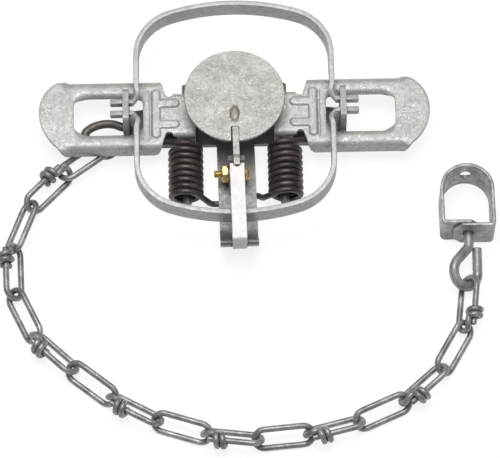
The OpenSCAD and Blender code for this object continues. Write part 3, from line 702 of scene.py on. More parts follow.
@dataclass(frozen=True)
class BrassFinish:
    """Plain brass with painted shade darkening its grooves and hollows."""

    name: str
    bright: Colour = (0.86, 0.70, 0.32)
    dull: Colour = (0.68, 0.52, 0.20)
    groove: Colour = (0.3, 0.19, 0.06)
    groove_share: float = 0.5
    cloud: float = 420.0
    cloud_edge: Point2 = (0.35, 0.62)
    scratch: float = 1500.0
    rough: Point2 = (0.28, 0.44)
    metal: float = 0.8
    grain: float = 2600.0
    grain_mm: float = 0.02
    grain_strength: float = 0.5

    def build(self) -> Material:
        """Makes the finish.

        Returns:
            The material.
        """
        sheet = NodeSheet(self.name)
        colour = sheet.ramp(sheet.noise(self.cloud, PLAIN), self.cloud_edge, self.dull, self.bright)
        # Painted shade: grooves and hollows darkened towards dark brown by ambient occlusion
        groove_shade_mask = sheet.band(sheet.hollows(), GROOVE_EDGE, self.groove_share, 0.0)
        rough = sheet.spread(self.scratch, PLAIN, *self.rough)
        sheet.surface(sheet.mix(groove_shade_mask, colour, self.groove), rough, self.metal)
        sheet.bump(sheet.noise(self.grain, PLAIN), self.grain_mm, self.grain_strength)
        return sheet.material


FINISHES = (
    SteelFinish("galvanised", (0.55, 0.535, 0.515), (0.46, 0.445, 0.43), 0.3, 1300, frost=0.95),
    SteelFinish("galvanised_pan", (0.53, 0.515, 0.482), (0.37, 0.36, 0.338), 0.75, 1500, 110, frost=0.8,
                stain=(0.40, 0.37, 0.33), stain_share=0.5, heat=HeatRing((-0.1, -5.7, 29.0))),
    SteelFinish("jaw_steel", (0.60, 0.585, 0.575), (0.50, 0.49, 0.48), 0.22, 1300, rough=(0.38, 0.55)),
    # Paler and speckled from 9 mm to 24 mm up the posts; the darker bar below is partly the steel's own tone
    # and partly painted shade under the pan
    SteelFinish("frame_steel", (0.31, 0.295, 0.288), (0.20, 0.19, 0.185), speckle=1100, cloud=40, grime=0.2,
                worn=Wear("Z", (9.0, 24.0), (0.46, 0.45, 0.44))),
    # Paler and speckled from -5 mm to -47 mm along Y: partly the steel's own tone, partly painted light on
    # the crosspiece's shaded rear; the fade back from -62 mm to -68 mm is painted shade under the jaw and on
    # the front curl
    SteelFinish("cross_steel", (0.20, 0.19, 0.186), (0.125, 0.118, 0.115), speckle=1100, cloud=40, grime=0.2,
                worn=Wear("Y", (-5.0, -47.0), (0.46, 0.45, 0.435), (-62.0, -68.0))),
    SteelFinish("bracket_steel", (0.38, 0.37, 0.36), (0.26, 0.25, 0.245), speckle=1200, cloud=90, grime=0.2),
    SteelFinish("dog_steel", (0.915, 0.89, 0.875), (0.905, 0.88, 0.865), 0.3, metal=0.1, grime=0.35,
                spangle=0.12),
    SteelFinish("spring_steel", (0.135, 0.112, 0.104), (0.05, 0.041, 0.039), 0.2, 900, 110, (0.3, 0.5), 0.6,
                (0.15, 0.10, 0.07), 0.3),
    SteelFinish("pin_steel", (0.30, 0.28, 0.26), (0.18, 0.17, 0.16), speckle=1000, metal=0.5),
    BrassFinish("brass"),
    SteelFinish("chain_steel", (0.46, 0.45, 0.435), (0.22, 0.212, 0.204), speckle=1000, cloud=130,
                rough=(0.3, 0.5), metal=0.5, stain=(0.2, 0.17, 0.14), stain_share=0.4),
    SteelFinish("hook_steel", (0.22, 0.195, 0.175), (0.12, 0.105, 0.095), speckle=1000, cloud=120, metal=0.5,
                stain=(0.17, 0.12, 0.09), stain_share=0.5),
    SteelFinish("swivel_steel", (0.50, 0.49, 0.48), (0.25, 0.243, 0.238), speckle=1100, cloud=140, metal=0.5,
                stain=(0.22, 0.2, 0.18), stain_share=0.4),
)


# Sub-assemblies


@dataclass
class Assembly:
    """A group of pieces, dressed in the trap's finishes."""

    finishes: Dict[str, Material]

    def add(self, name: str, bm: Mesh, finish: str, body: str, node: str, slot: str = "",
            sharp_deg: float = 38.0, flat: bool = False) -> bpy.types.Object:
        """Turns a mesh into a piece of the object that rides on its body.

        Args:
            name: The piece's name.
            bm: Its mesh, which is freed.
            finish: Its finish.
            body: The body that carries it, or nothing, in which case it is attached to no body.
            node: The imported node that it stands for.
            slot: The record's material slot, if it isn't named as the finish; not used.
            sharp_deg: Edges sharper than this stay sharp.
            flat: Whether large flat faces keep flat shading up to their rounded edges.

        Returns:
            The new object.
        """
        bmesh.ops.recalc_face_normals(bm, faces=bm.faces)
        mesh = bpy.data.meshes.new(name)
        bm.to_mesh(mesh)
        bm.free()
        mesh.shade_smooth()
        mesh.set_sharp_from_angle(angle=radians(sharp_deg))
        mesh.materials.append(self.finishes[finish])
        piece = bpy.data.objects.new(name, mesh)
        bpy.context.scene.collection.objects.link(piece)
        if flat:
            piece.modifiers.new("flat_shading", "WEIGHTED_NORMAL").keep_sharp = True
        if body:
            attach(piece, body)
        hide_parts(node)
        LOG.info("%s: %d faces on %s", name, len(mesh.polygons), body or "two bodies")
        return piece


@dataclass
class FrameWork(Assembly):
    """Base bar, crosspiece, pan bracket and rivets, with softened edges."""

    parts: Tuple[Tuple[str, float, str], ...] = (
        ("base_frame", 0.35, "frame_steel"), ("crosspiece", 0.35, "cross_steel"),
        ("pan_bracket", 0.25, "bracket_steel"), ("frame_rivets", 0.2, "frame_steel"))

    def build(self) -> None:
        """Makes the pieces of the fixed frame, of which only the base bar doesn't lean."""
        for node, edge, finish in self.parts:
            shape = softened(node, edge)
            self.add(f"{node}_formed", shape if node == "base_frame" else askew(shape), finish, "frame", node,
                     "frame_steel", flat=True)


@dataclass
class Jaws(Assembly):
    """The two bent bars, whose ends turn out to the posts and step down to a tang."""

    pivot_y: float = 3.3
    pivot_z: float = 25.5
    half: float = 53.0
    bar_t: float = 2.8
    top_z: float = 28.65
    low_z: float = 17.15
    relief_z: float = 21.6
    relief_y: Point2 = (19.4, 22.4)
    front_reach: float = 62.9
    rear_reach: float = 61.7
    front_dip: float = 1.1
    arc_r: float = 112.0
    corner_r: float = 27.5
    # The end of the bar's middle line, seen from above
    toe: Tuple[Point2, ...] = ((55.2, 3.2), (53.8, 4.4), (52.2, 7.7), (51.6, 10.0), (51.6, 14.5))
    twist_y: Point2 = (4.3, 11.5)
    rise_y: Point2 = (3.3, 10.0)
    # Places along a tang, and how far it is drawn in there
    tang: Tuple[Point2, ...] = ((53.1, 0.2), (55.6, 0.0), (64.9, 0.0), (65.25, 0.25), (65.4, 0.5))
    tang_w: float = 2.8
    tang_h: float = 4.2
    tang_r: float = 0.4
    edge: float = 0.5
    twist: float = 58.0

    def plan(self, reach: float) -> List[Vector]:
        """Middle line of a jaw's bar from its right end to its left end, seen from above.

        Args:
            reach: How far the bar's outer face lies from the trap's middle.

        Returns:
            The points, with the bar at +Y.
        """
        inset = self.bar_t / 2
        arc_y, corner_x = reach - self.arc_r, self.half - self.corner_r
        corner_y = arc_y + sqrt((self.arc_r - self.corner_r) ** 2 - corner_x ** 2)
        turn = degrees(atan2(corner_y - arc_y, corner_x))
        half = smooth_line([at(*p) for p in self.toe], 6)
        half += straight(half[-1], at(self.half - inset, corner_y), 14)[1:-1]
        r = self.corner_r - inset
        half += arc_points(at(corner_x, corner_y), at(r), at(0, r), turn, 18)
        r = self.arc_r - inset
        half += arc_points(at(0, arc_y), ahead(turn) * r, left_of(turn) * r, 90 - turn, 14)[1:]
        return half + [at(-p.x, p.y) for p in reversed(half[:-1])]

    def section(self, y: float, jaw: Jaw) -> List[Point2]:
        """The bar's section, heights first, at a distance from the middle of the trap.

        Args:
            y: Distance of the bar's middle line from the trap's middle, in millimetres.
            jaw: Which jaw, as the ends of both are turned over to the trap's middle.

        Returns:
            Points about the middle line's place on the ground.
        """
        near, tang = smooth_step(*self.rise_y, y), self.tang_h / 2
        top = self.pivot_z + tang + (self.top_z - self.pivot_z - tang) * near
        low = self.pivot_z - tang + (self.relief_z - self.pivot_z + tang) * near
        low += (self.low_z - self.relief_z) * smooth_step(*self.relief_y, y)
        a = radians(self.twist) * (1 - smooth_step(*self.twist_y, y)) * jaw.value
        ring = round_box_section(top - low, self.bar_t, self.edge, 4)
        return [((top + low) / 2 + u * cos(a) + v * sin(a), v * cos(a) - u * sin(a)) for u, v in ring]

    def add_tang(self, bm: Mesh, side: Side, jaw: Jaw) -> None:
        """Adds the tang at one end of a jaw.

        Args:
            bm: The jaw's mesh.
            side: Which end.
            jaw: Which jaw.
        """
        line = [at(x * side.value, self.pivot_y * jaw.value, self.pivot_z) for x, _ in self.tang]
        sizes = [(self.tang_h - 2 * cut, self.tang_w - 2 * cut) for _, cut in self.tang]
        sweep(bm, line, lambda i: round_box_section(*sizes[i], self.tang_r, 3), up=UP)

    def build(self) -> None:
        """Makes both jaws."""
        for jaw in Jaw:
            plan = self.plan(self.front_reach if jaw is Jaw.FRONT else self.rear_reach)
            bm = bmesh.new()
            path = [at(p.x, p.y * jaw.value) for p in plan]
            sweep(bm, path, lambda i: self.section(plan[i].y, jaw), up=UP)
            if jaw is Jaw.FRONT:
                dip = Matrix.Rotation(radians(self.front_dip), 3, "X")
                bmesh.ops.rotate(bm, cent=at(0, -self.pivot_y, self.pivot_z) * MM, matrix=dip, verts=bm.verts)
            for side in Side:
                self.add_tang(bm, side, jaw)
            self.add(f"{jaw.word}_bar", bm, "jaw_steel", jaw.word, jaw.word)


@dataclass
class Levers(Assembly):
    """The levers, each pressed from one sheet with folded rails, and their spring pins.

    A lever is laid out flat, with x along it and v across it, and then folded. Sizes are those of
    the right-hand lever's top face.
    """

    top_z: float = 17.0
    sheet_t: float = 2.4
    rim: float = 0.45
    rail_y: float = 16.3
    rail_r: float = 4.0
    rail_from: float = 37.5
    rail_v: float = 13.4
    rail_slant: float = 3.4
    slant_shares: Tuple[float, ...] = (0.05, 0.3, 0.6, 0.82)
    flange_z: float = 9.0
    flange_r: float = 2.2
    flange_x: float = 60.0
    fade_x: Point2 = (86.5, 94.0)
    rear_fade: Tuple[Point2, ...] = (
        (85.5, 0.0), (86.5, 0.5), (87.5, 2.0), (88.5, 4.2), (90.0, 6.5), (92.0, 7.4), (94.0, 8.4))
    front_fade: Tuple[Point2, ...] = (
        (86.5, 0.0), (87.5, 0.6), (88.5, 1.9), (90.0, 4.0), (92.0, 6.6), (94.0, 8.6))
    win_in: float = 48.0
    win_out: float = 85.5
    win_y: float = 13.9
    win_r: float = 3.0
    lip_r: float = 3.0
    lip_ease: Point2 = (7.0, 8.0)
    neck_in: float = 21.1
    neck_y: float = 10.0
    neck_r: float = 2.8
    pin_x: float = 25.5
    pin_z: float = 9.5
    ear_r: float = 4.4
    ear_fade: float = 31.0
    shoulder: Tuple[Point2, ...] = ((29.9, 15.9), (30.4, 14.3))
    notch_x: float = 34.6
    notch_v: float = 12.3
    notch_r: float = 2.4
    end_x: float = 79.75
    end_r: float = 23.2
    end_gap: float = 1.5
    left_skew: float = 2.6
    right_skew: float = 1.5
    skew_x: Point2 = (88.0, 106.0)
    set_back: float = 0.6
    rib_h: float = 1.05
    spine_x: Point2 = (39.2, 43.6)
    spine_y: float = 14.0
    finger_x: float = 29.4
    finger_y: float = 6.1
    finger_r: float = 2.2
    rib_edge: float = 0.5
    crease_x: float = 44.6
    crease_depth: float = 0.5
    crease_edge: Point2 = (0.1, 0.75)
    flat_l: float = 84.0
    flat_half: float = 27.0
    step: float = 1.3
    fine_step: float = 0.5
    fine_edge: float = 1.2
    clear: float = 0.55

    @property
    def flange_v(self) -> float:
        """Where the flange ends on the flat sheet."""
        return self.rail_y + self.rail_r * pi / 2 + (self.top_z - self.rail_r - self.flange_z)

    @property
    def ear_v(self) -> float:
        """Where the pin passes through the ear on the flat sheet."""
        return self.neck_y + self.neck_r * pi / 2 + (self.top_z - self.neck_r - self.pin_z)

    def half_outline(self, fade: Sequence[Point2]) -> List[Point2]:
        """Outline of half the flat sheet, from the neck's middle to the far end.

        Args:
            fade: Places along the lever where the flange runs out, and its loss of width there.

        Returns:
            The points.
        """
        ear, notch, r, wide = self.ear_r, self.notch_r, self.flange_r, self.flange_v
        points = [(self.neck_in, 0.0), (self.neck_in, self.ear_v)]
        points += flat_arc((self.pin_x, self.ear_v), (-ear, ear), 0, 180, 12)[1:] + list(self.shoulder)
        points += flat_arc((self.notch_x, self.notch_v), (-notch, -notch), 0, 180, 12)
        points += [(self.rail_from + self.rail_slant * s, self.rail_v + (wide - self.rail_v) * s)
                   for s in self.slant_shares]
        corner = (self.rail_from + self.rail_slant + r, wide - r)
        points += flat_arc(corner, (-r - 0.2, r), 15, 90, 5)[1:] + [(self.flange_x, wide)]
        points += [(x, wide - loss) for x, loss in fade]
        first = degrees(acos((fade[-1][0] + self.end_gap - self.end_x) / self.end_r))
        return points + flat_arc((self.end_x, 0.0), (self.end_r, self.end_r), first, 0, 16)

    def window(self) -> List[Point2]:
        """Outline of the window in the flat sheet.

        Returns:
            The points.
        """
        width = 2 * (self.win_y - self.lip_r * pi / 2)
        ring = round_box_section(self.win_out - self.win_in, width, self.win_r, 5)
        return [(u + (self.win_in + self.win_out) / 2, v) for u, v in ring]

    def rib(self, x: float, v: float) -> float:
        """Height of the pressed E-shaped rib, or depth of the crease beside it.

        Args:
            x: Place along the lever.
            v: Place across the flat sheet.

        Returns:
            The height in millimetres.
        """
        low, high = self.spine_x
        mid, half, d = (low + high) / 2, (high - low) / 2, abs(v)
        spine = hypot(x - mid, max(0.0, d - self.spine_y + half)) - half
        reach = min(max(x, self.finger_x + self.finger_r), mid)
        away = min(spine, hypot(x - reach, d - self.finger_y) - self.finger_r)
        line = 1 - smooth_step(*self.crease_edge, abs(x - self.crease_x))
        ends = 1 - smooth_step(self.spine_y - 1, self.spine_y + 1, d)
        rib = 1 - smooth_step(-self.rib_edge, self.rib_edge, away)
        return self.rib_h * rib - self.crease_depth * line * ends

    @staticmethod
    def bend(along: float, radius: float, share: float) -> Point2:
        """Where a place on a folded sheet comes to lie.

        Args:
            along: Distance from the fold's start on the flat sheet.
            radius: Radius of the full fold by a right angle.
            share: How much of a right angle it is folded.

        Returns:
            Distance outward and distance down.
        """
        length, angle = radius * pi / 2, share * pi / 2
        if angle < 1e-3:
            return along, 0.0
        r, a = length / angle, angle * min(along, length) / length
        rest = max(0.0, along - length)
        return r * sin(a) + rest * cos(angle), r * (1 - cos(a)) + rest * sin(angle)

    def fold(self, x: float, v: float) -> Vector:
        """Folds one place of the flat sheet.

        Args:
            x: Place along the lever.
            v: Place across the flat sheet.

        Returns:
            The place on the pressed lever's top face, in millimetres.
        """
        sign, d, neck = (1.0 if v >= 0 else -1.0), abs(v), x < self.notch_x
        start, radius = (self.neck_y, self.neck_r) if neck else (self.rail_y, self.rail_r)
        if d > start:
            fade = (self.ear_fade, self.notch_x) if neck else self.fade_x
            out, down = self.bend(d - start, radius, 1 - smooth_step(*fade, x))
            return at(x, sign * (start + out), self.top_z - down)
        if d < self.win_y and self.win_in < x < self.win_out:
            share = smooth_step(self.win_in, self.win_in + self.lip_ease[0], x)
            share *= 1 - smooth_step(self.win_out - self.lip_ease[1], self.win_out, x)
            out, down = self.bend(self.win_y - d, self.lip_r, share)
            return at(x, sign * (self.win_y - out), self.top_z - down)
        return at(x, v, self.top_z + self.rib(x, v))

    def sheet_points(self, edge: Sequence[Point2]) -> List[Point2]:
        """Inner points of the flat sheet, closer together where the rib is pressed.

        Args:
            edge: Points of outlines that they keep clear of.

        Returns:
            The points.
        """
        spots: List[Point2] = []
        low, high = self.finger_x - self.fine_edge, self.crease_x + self.fine_edge
        for step, fine in ((self.step, False), (self.fine_step, True)):
            rows = range(int(-self.flat_half / step), int(self.flat_half / step) + 1)
            columns = [self.neck_in + (i + 0.5) * step for i in range(int(self.flat_l / step))]
            places = [(x, k * step) for x in columns for k in rows]
            spots += [(x, v) for x, v in places
                      if (low < x < high and abs(v) < self.spine_y + self.fine_edge) == fine]
        clear = (self.clear * self.step) ** 2
        return [(x, v) for x, v in spots if all((x - a) ** 2 + (v - b) ** 2 > clear for a, b in edge)]

    def pressed(self, side: Side) -> Mesh:
        """One lever's mesh.

        Args:
            side: Which end of the trap.

        Returns:
            The mesh, in metres.
        """
        sheet = FoldedSheet(self.sheet_t, self.rim, self.step)
        rear, front = self.half_outline(self.rear_fade), self.half_outline(self.front_fade)
        outer = sheet.spaced(rear + [(x, -v) for x, v in reversed(front[1:-1])])
        inner = sheet.spaced(list(reversed(self.window())))
        bm = sheet.mesh(outer, [inner], self.sheet_points(outer + inner), self.fold)
        skew = self.left_skew if side is Side.LEFT else self.right_skew
        for vert in bm.verts:
            vert.co.y += self.set_back + skew * smooth_step(*self.skew_x, vert.co.x)
        bmesh.ops.transform(bm, matrix=Matrix.Diagonal((side.value * MM, MM, MM, 1)), verts=bm.verts)
        return bm

    def build(self) -> None:
        """Makes both levers and both pins."""
        for side in Side:
            body, pin = f"{side.word}_lever", f"{side.word}_spring_pin"
            self.add(f"{body}_pressed", self.pressed(side), "galvanised", body, body)
            self.add(f"{pin}_rod", softened(pin, 0.5), "pin_steel", body, pin, flat=True)


@dataclass
class Springs(Assembly):
    """The two coil springs, wound between the crosspiece and the levers."""

    wire_d: float = 3.3
    coil_d: float = 15.4
    turns: int = 8
    pitch: float = 3.55
    pin_x: float = 26.2
    pin_z: float = 9.5
    back_y: float = -16.1
    foot_x: float = 10.8
    leg_in: float = 4.0
    leg_bend: float = 4.0
    leg_drop: float = 26.0
    leg_lean: float = 0.24
    leg_out: float = 16.0
    right_back: float = 4.4
    back_from: float = 18.0
    steps: int = 40

    @property
    def leg_up(self) -> float:
        """Angle at which the front leg runs up to the coil, in degrees."""
        span = Vector((self.pin_x - self.foot_x, self.coil_d / 2 - self.leg_bend))
        return degrees(atan2(span.y, span.x) + asin((self.coil_d / 2 + self.leg_bend) / span.length))

    @property
    def sweep_deg(self) -> float:
        """How far the coil turns from leg to leg, in degrees."""
        return 360 * self.turns + self.leg_up + self.leg_drop

    @property
    def front_y(self) -> float:
        """Where the front leg lies."""
        return self.back_y - self.pitch * self.sweep_deg / 360

    def line(self, side: Side) -> List[Vector]:
        """The wire's middle line on one side.

        Args:
            side: Which end of the trap.

        Returns:
            Points in millimetres.
        """
        r, y, bend = self.coil_d / 2, self.front_y, self.leg_bend
        low = self.pin_z - r
        points = straight(at(self.leg_in, y, low), at(self.foot_x, y, low), 6)[:-1]
        points += arc_points(at(self.foot_x, y, low + bend), at(0, 0, -bend), at(bend), self.leg_up, 10)
        count = int(self.sweep_deg / 360 * self.steps)
        for turn in (self.sweep_deg * k / count for k in range(count + 1)):
            a = radians(turn - self.leg_up)
            points.append(at(self.pin_x + r * sin(a), y + self.pitch * turn / 360, self.pin_z + r * cos(a)))
        a = radians(self.leg_drop)
        way = at(cos(a), self.leg_lean, -sin(a)).normalized()
        points += straight(points[-1], points[-1] + way * self.leg_out, 8)[1:]
        if side is Side.RIGHT:
            for p in points[:self.steps]:
                p.y += self.right_back * smooth_step(self.back_from, self.foot_x, p.x)
        return [at(p.x * side.value, p.y, p.z) for p in points]

    def build(self) -> None:
        """Makes both springs, which wind up between the frame and their lever."""
        for side in Side:
            bm = bmesh.new()
            wire(bm, self.line(side), self.wire_d / 2, 16)
            node = f"{side.word}_spring"
            piece = self.add(f"{node}_coil", bm, "spring_steel", "", node)
            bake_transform(piece)


@dataclass
class PanGroup(Assembly):
    """Pan, shank, dog, screw and nut."""

    screw_y: float = -34.0
    screw_z: float = 15.0
    screw_d: float = 4.1
    screw_out: float = 4.0
    head_r: float = 3.895
    head_h: float = 2.542
    head_rim: float = 0.3
    tip_share: float = 0.72
    tip_bevel: float = 0.3
    thread_gap: float = 0.4
    thread_in: float = 2.0
    thread_pitch: float = 0.7
    thread_depth: float = 0.35
    ear_out: float = 4.35
    nut_af: float = 8.7
    nut_t: float = 3.6
    nut_cut: float = 0.35
    tip_shift: float = 2.3
    dog_tip: Point2 = (-58.0, -42.0)
    wall_shift: float = 0.5
    dog_wall: Point2 = (-76.5, -79.0)
    bend_y: float = -76.1
    bend_z: float = 30.25
    bend_power: float = 0.55
    hinge_y: float = -76.8
    hinge_z: float = 22.0
    bore_r: float = 1.9
    bore_play: float = 0.2
    pan_shift: float = 1.2
    pan_top: float = 29.0
    tenon_y: float = -3.1
    tenon_from: float = -8.0
    tenon_stretch: float = 1.7
    tenon_shift: float = 1.4
    shank_top: float = 23.0
    shank_nose: Point2 = (-28.0, -33.0)
    shank_back: Point2 = (-26.0, -22.0)

    def turned(self, rows: Sequence[Tuple[float, Sequence[float]]], closed: bool) -> Mesh:
        """A shape turned around the screw's axis.

        Args:
            rows: Places along X, each with the radii around the axis there.
            closed: Whether the last row joins the first.

        Returns:
            The mesh, in metres, leaning with the crosspiece.
        """
        rings: List[Ring] = []
        for x, radii in rows:
            spots = [(r, tau * k / len(radii)) for k, r in enumerate(radii)]
            rings.append([at(x, self.screw_y + r * cos(a), self.screw_z + r * sin(a)) * MM for r, a in spots])
        bm = bmesh.new()
        join_rings(bm, rings, closed)
        return askew(bm)

    def screw_mesh(self) -> Mesh:
        """The screw along X: domed head on the right, thread on the left.

        Returns:
            The mesh, in metres.
        """
        sides, parts, r, pitch = 28, 8, self.screw_d / 2, self.thread_pitch
        tip = -(self.ear_out + self.nut_t + self.screw_out)
        rows = [(tip, [r * self.tip_share] * sides), (tip + self.tip_bevel, [r - self.thread_depth] * sides)]
        for i in range(int((self.nut_t + self.screw_out + self.thread_in) / pitch * parts)):
            x = tip + self.thread_gap + i * pitch / parts
            turns = [(x / pitch + k / sides) % 1.0 for k in range(sides)]
            rows.append((x, [r - self.thread_depth * abs(2 * turn - 1) for turn in turns]))
        rows += [(self.ear_out - 0.05, [r] * sides), (self.ear_out, [self.head_r * 0.97] * sides)]
        rise, rim = self.head_h - self.head_rim, self.ear_out + self.head_rim
        dome = flat_arc((0.0, rim), (self.head_r, rise), 0, 90, 8)
        rows += [(x, [max(0.05, radius)] * sides) for radius, x in dome]
        return self.turned(rows, False)

    def nut_mesh(self) -> Mesh:
        """The hexagonal nut with turned-off corners.

        Returns:
            The mesh, in metres.
        """
        sides, half = 72, self.nut_af / 2
        hexagon = [half / cos((tau * k / sides) % (pi / 3) - pi / 6) for k in range(sides)]
        corner = half / cos(pi / 6) - self.nut_cut
        rows = [(0.0, [self.screw_d / 2 - 0.05] * sides), (0.0, [half * 0.95] * sides),
                (0.45, [min(r, corner) for r in hexagon]), (0.8, hexagon)]
        rows += [(self.nut_t - depth, radii) for depth, radii in reversed(rows)]
        return self.turned([(-self.ear_out - depth, radii) for depth, radii in rows], True)

    def dog_mesh(self) -> Mesh:
        """The dog, softened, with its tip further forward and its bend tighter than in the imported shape.

        Returns:
            The mesh, in metres.
        """
        bm = softened("dog", 0.4)
        for v in bm.verts:
            y, z = v.co.y / MM, v.co.z / MM
            r = hypot(y - self.hinge_y, z - self.hinge_z)
            if r < self.bore_r:
                y += (y - self.hinge_y) / r * self.bore_play
                z += (z - self.hinge_z) / r * self.bore_play
            out, up = self.bend_y - y, z - self.bend_z
            if out > 0 and up > 0:
                r = hypot(out, up)
                y = self.bend_y - r * (out / r) ** self.bend_power
                z = self.bend_z + r * (up / r) ** self.bend_power
            wall, tip = smooth_step(*self.dog_wall, y), smooth_step(*self.dog_tip, y)
            v.co.y, v.co.z = (y - self.wall_shift * wall - self.tip_shift * tip) * MM, z * MM
        return askew(bm)

    def shank_mesh(self) -> Mesh:
        """The shank, softened, with its nose drawn forward to the dog's tip and a longer tenon end.

        Returns:
            The mesh, in metres.
        """
        bm = softened("pan_shank", 0.3)
        for v in bm.verts:
            y, z = v.co.y / MM, v.co.z / MM
            if z > self.pan_top - 0.3 and y > self.tenon_from:
                y = self.tenon_y + (y - self.tenon_y) * self.tenon_stretch - self.tenon_shift
            if z > self.shank_top:
                nose, back = smooth_step(*self.shank_nose, y), smooth_step(*self.shank_back, y)
                y -= self.tip_shift * nose + self.pan_shift * back
            v.co.y = y * MM
        return askew(bm)

    def disc_mesh(self) -> Mesh:
        """The pan's plate, softened.

        Returns:
            The mesh, in metres.
        """
        bm = softened("pan_plate", 0.4, 3)
        bmesh.ops.translate(bm, verts=bm.verts, vec=(0, -self.pan_shift * MM, 0))
        return bm

    def build(self) -> None:
        """Makes the pieces around the pan."""
        self.add("pan_disc", self.disc_mesh(), "galvanised_pan", "pan", "pan_plate", "galvanised", flat=True)
        self.add("pan_shank_strip", self.shank_mesh(), "galvanised_pan", "pan", "pan_shank", "dog_steel",
                 flat=True)
        self.add("dog_strip", self.dog_mesh(), "dog_steel", "dog", "dog", flat=True)
        self.add("pan_screw_turned", self.screw_mesh(), "brass", "frame", "pan_screw", sharp_deg=30)
        self.add("pan_nut_hexagon", self.nut_mesh(), "brass", "frame", "pan_nut", sharp_deg=28)


@dataclass
class Chain(Assembly):
    """Hook, sixteen wire links and the swivel at the chain's far end.

    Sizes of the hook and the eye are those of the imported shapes, which place the chain. Those of the
    bow and the loop are what is drawn.
    """

    wire_d: float = 3.2
    link_l: float = 33.4
    link_w: float = 13.6
    first_gap: float = 2.2
    link_gap: float = 0.6
    eye_gap: float = 1.3
    roll: float = 45.0
    first_roll: float = 20.0
    knot: float = -8.6
    first_knot: float = -7.3
    knot_turns: float = 1.8
    knot_pitch: float = 2.03
    knot_lap: float = 1.98
    knot_from: float = 75.0
    knot_end: float = 2.6
    knot_lead: float = 120.0
    knot_lift: Point2 = (85.0, 140.0)
    knot_over: Point3 = (-0.2, 1.2, 0.9)
    turns: Tuple[int, ...] = (216, 226, 249, 272, 295, 316, 321, 331, 342, 353, 365, 374, 384, 402, 420, 443)
    post_out: float = 58.8
    hook_d: float = 4.0
    hook_wire: float = 4.6
    hook_bow: Tuple[Point3, ...] = (
        (-4.8, 0.0, 0.0), (-3.2, 0.0, 0.0), (0.4, -0.3, 0.0), (5.5, -2.0, 0.5), (11.5, -1.9, 0.8),
        (17.5, 0.4, 0.9), (20.6, 4.4, 0.9))
    bow_end: float = 4.6
    bow_shift: Point3 = (0.6, 0.0, 0.4)
    hook_r: float = 5.4
    hook_y: float = 3.0
    hook_bend: float = 10.0
    hook_lead: float = 2.0
    hook_run: float = 5.0
    hook_back: float = 6.0
    hook_turn: float = degrees(atan2(0.6, 0.8))
    hook_head: float = 3.6
    hook_rows: Tuple[Point2, ...] = ((-4.8, 0.75), (-4.4, 1.0), (-3.5, 1.0), (-3.2, 0.95))
    eye_d: float = 5.0
    eye_r: float = 7.5
    eye_bend: float = 5.0
    eye_lead: float = 2.0
    eye_neck: float = 5.0
    eye_lean: float = degrees(atan2(0.6, 0.8))
    eye_dip: float = degrees(atan2(0.28, 0.96))
    eye_head: float = 4.3
    eye_rows: Tuple[Point2, ...] = ((8.6, 0.94), (8.8, 1.0), (10.1, 1.0), (10.6, 0.8))
    eye_shank: Tuple[float, ...] = (10.2, 8.6, 5.0, 2.5, 1.0)
    loop_d: float = 5.2
    loop_r: float = 8.0
    loop_lead: Point2 = (0.2, 0.8)
    loop_bend: float = 4.0
    loop_lean: float = 48.0
    loop_arm: float = 8.9
    loop_end: float = 13.0
    strap_t: float = 1.8
    strap_h: float = 22.0
    strap_l: float = 36.0
    strap_half: float = 14.1
    strap_bend: float = 2.6
    strap_rim: float = 0.4
    strap_cut: Point2 = (4.4, 5.6)
    strap_step: float = 1.2
    strap_grid: Point2 = (0.7, 1.6)
    strap_rows: int = 13
    first_row: float = 1.5
    hole_clear: float = 0.5
    edge_clear: float = 0.5477
    crown_d: float = 7.5
    eye_play: float = 0.7
    flap_out: float = 7.6
    flap_in: float = 5.4

    @property
    def r(self) -> float:
        """Radius of the link wire."""
        return self.wire_d / 2

    @property
    def half_w(self) -> float:
        """Half the distance between a link's two legs."""
        return self.link_w / 2 - self.r

    @property
    def half_l(self) -> float:
        """Distance from a link's middle to the middle of its end wire."""
        return self.link_l / 2 - self.r

    @property
    def height(self) -> float:
        """Height of the chain's middle line above the ground."""
        return self.half_w * sin(radians(self.roll)) + self.r

    def gap(self, joint: int) -> float:
        """Clear gap at one joint of the chain."""
        late = self.eye_gap if joint == len(self.turns) else self.link_gap
        return self.first_gap if joint < 2 else late

    def start(self) -> Vector:
        """Where the first link pivots on the hook.

        Returns:
            The place, in millimetres.
        """
        way, side = ahead(180 + self.hook_turn), left_of(180 + self.hook_turn)
        bend = at(-self.post_out - self.hook_lead, -self.hook_y - self.hook_bend) - side * self.hook_bend
        tip = bend + way * (self.hook_run + self.hook_r) + side * self.hook_r * cos(radians(self.hook_turn))
        return tip - way * (self.hook_d / 2 + self.first_gap / 2) + UP * self.height

    def middles(self) -> Tuple[List[Vector], Vector]:
        """Middle of each link, and the pivot after the last one.

        Returns:
            The middles and the pivot, in millimetres.
        """
        inner = self.half_l - self.r
        pivot, made = self.start(), []
        for i, turn in enumerate(self.turns):
            made.append(pivot + ahead(turn) * (inner - self.gap(i) / 2))
            pivot = made[-1] + ahead(turn) * (inner - self.gap(i + 1) / 2)
        return made, pivot

    def plain_loop(self) -> List[Vector]:
        """Middle line of a plain link, lying along X.

        Returns:
            The points, in millimetres.
        """
        points: List[Vector] = []
        for s, w in ((self.half_l - self.half_w, self.half_w), (self.half_w - self.half_l, -self.half_w)):
            points += straight(at(-s, -w), at(s, -w), 10)[:-1]
            points += arc_points(at(s), at(0, -w), at(w), 180, 18)[:-1]
        return points

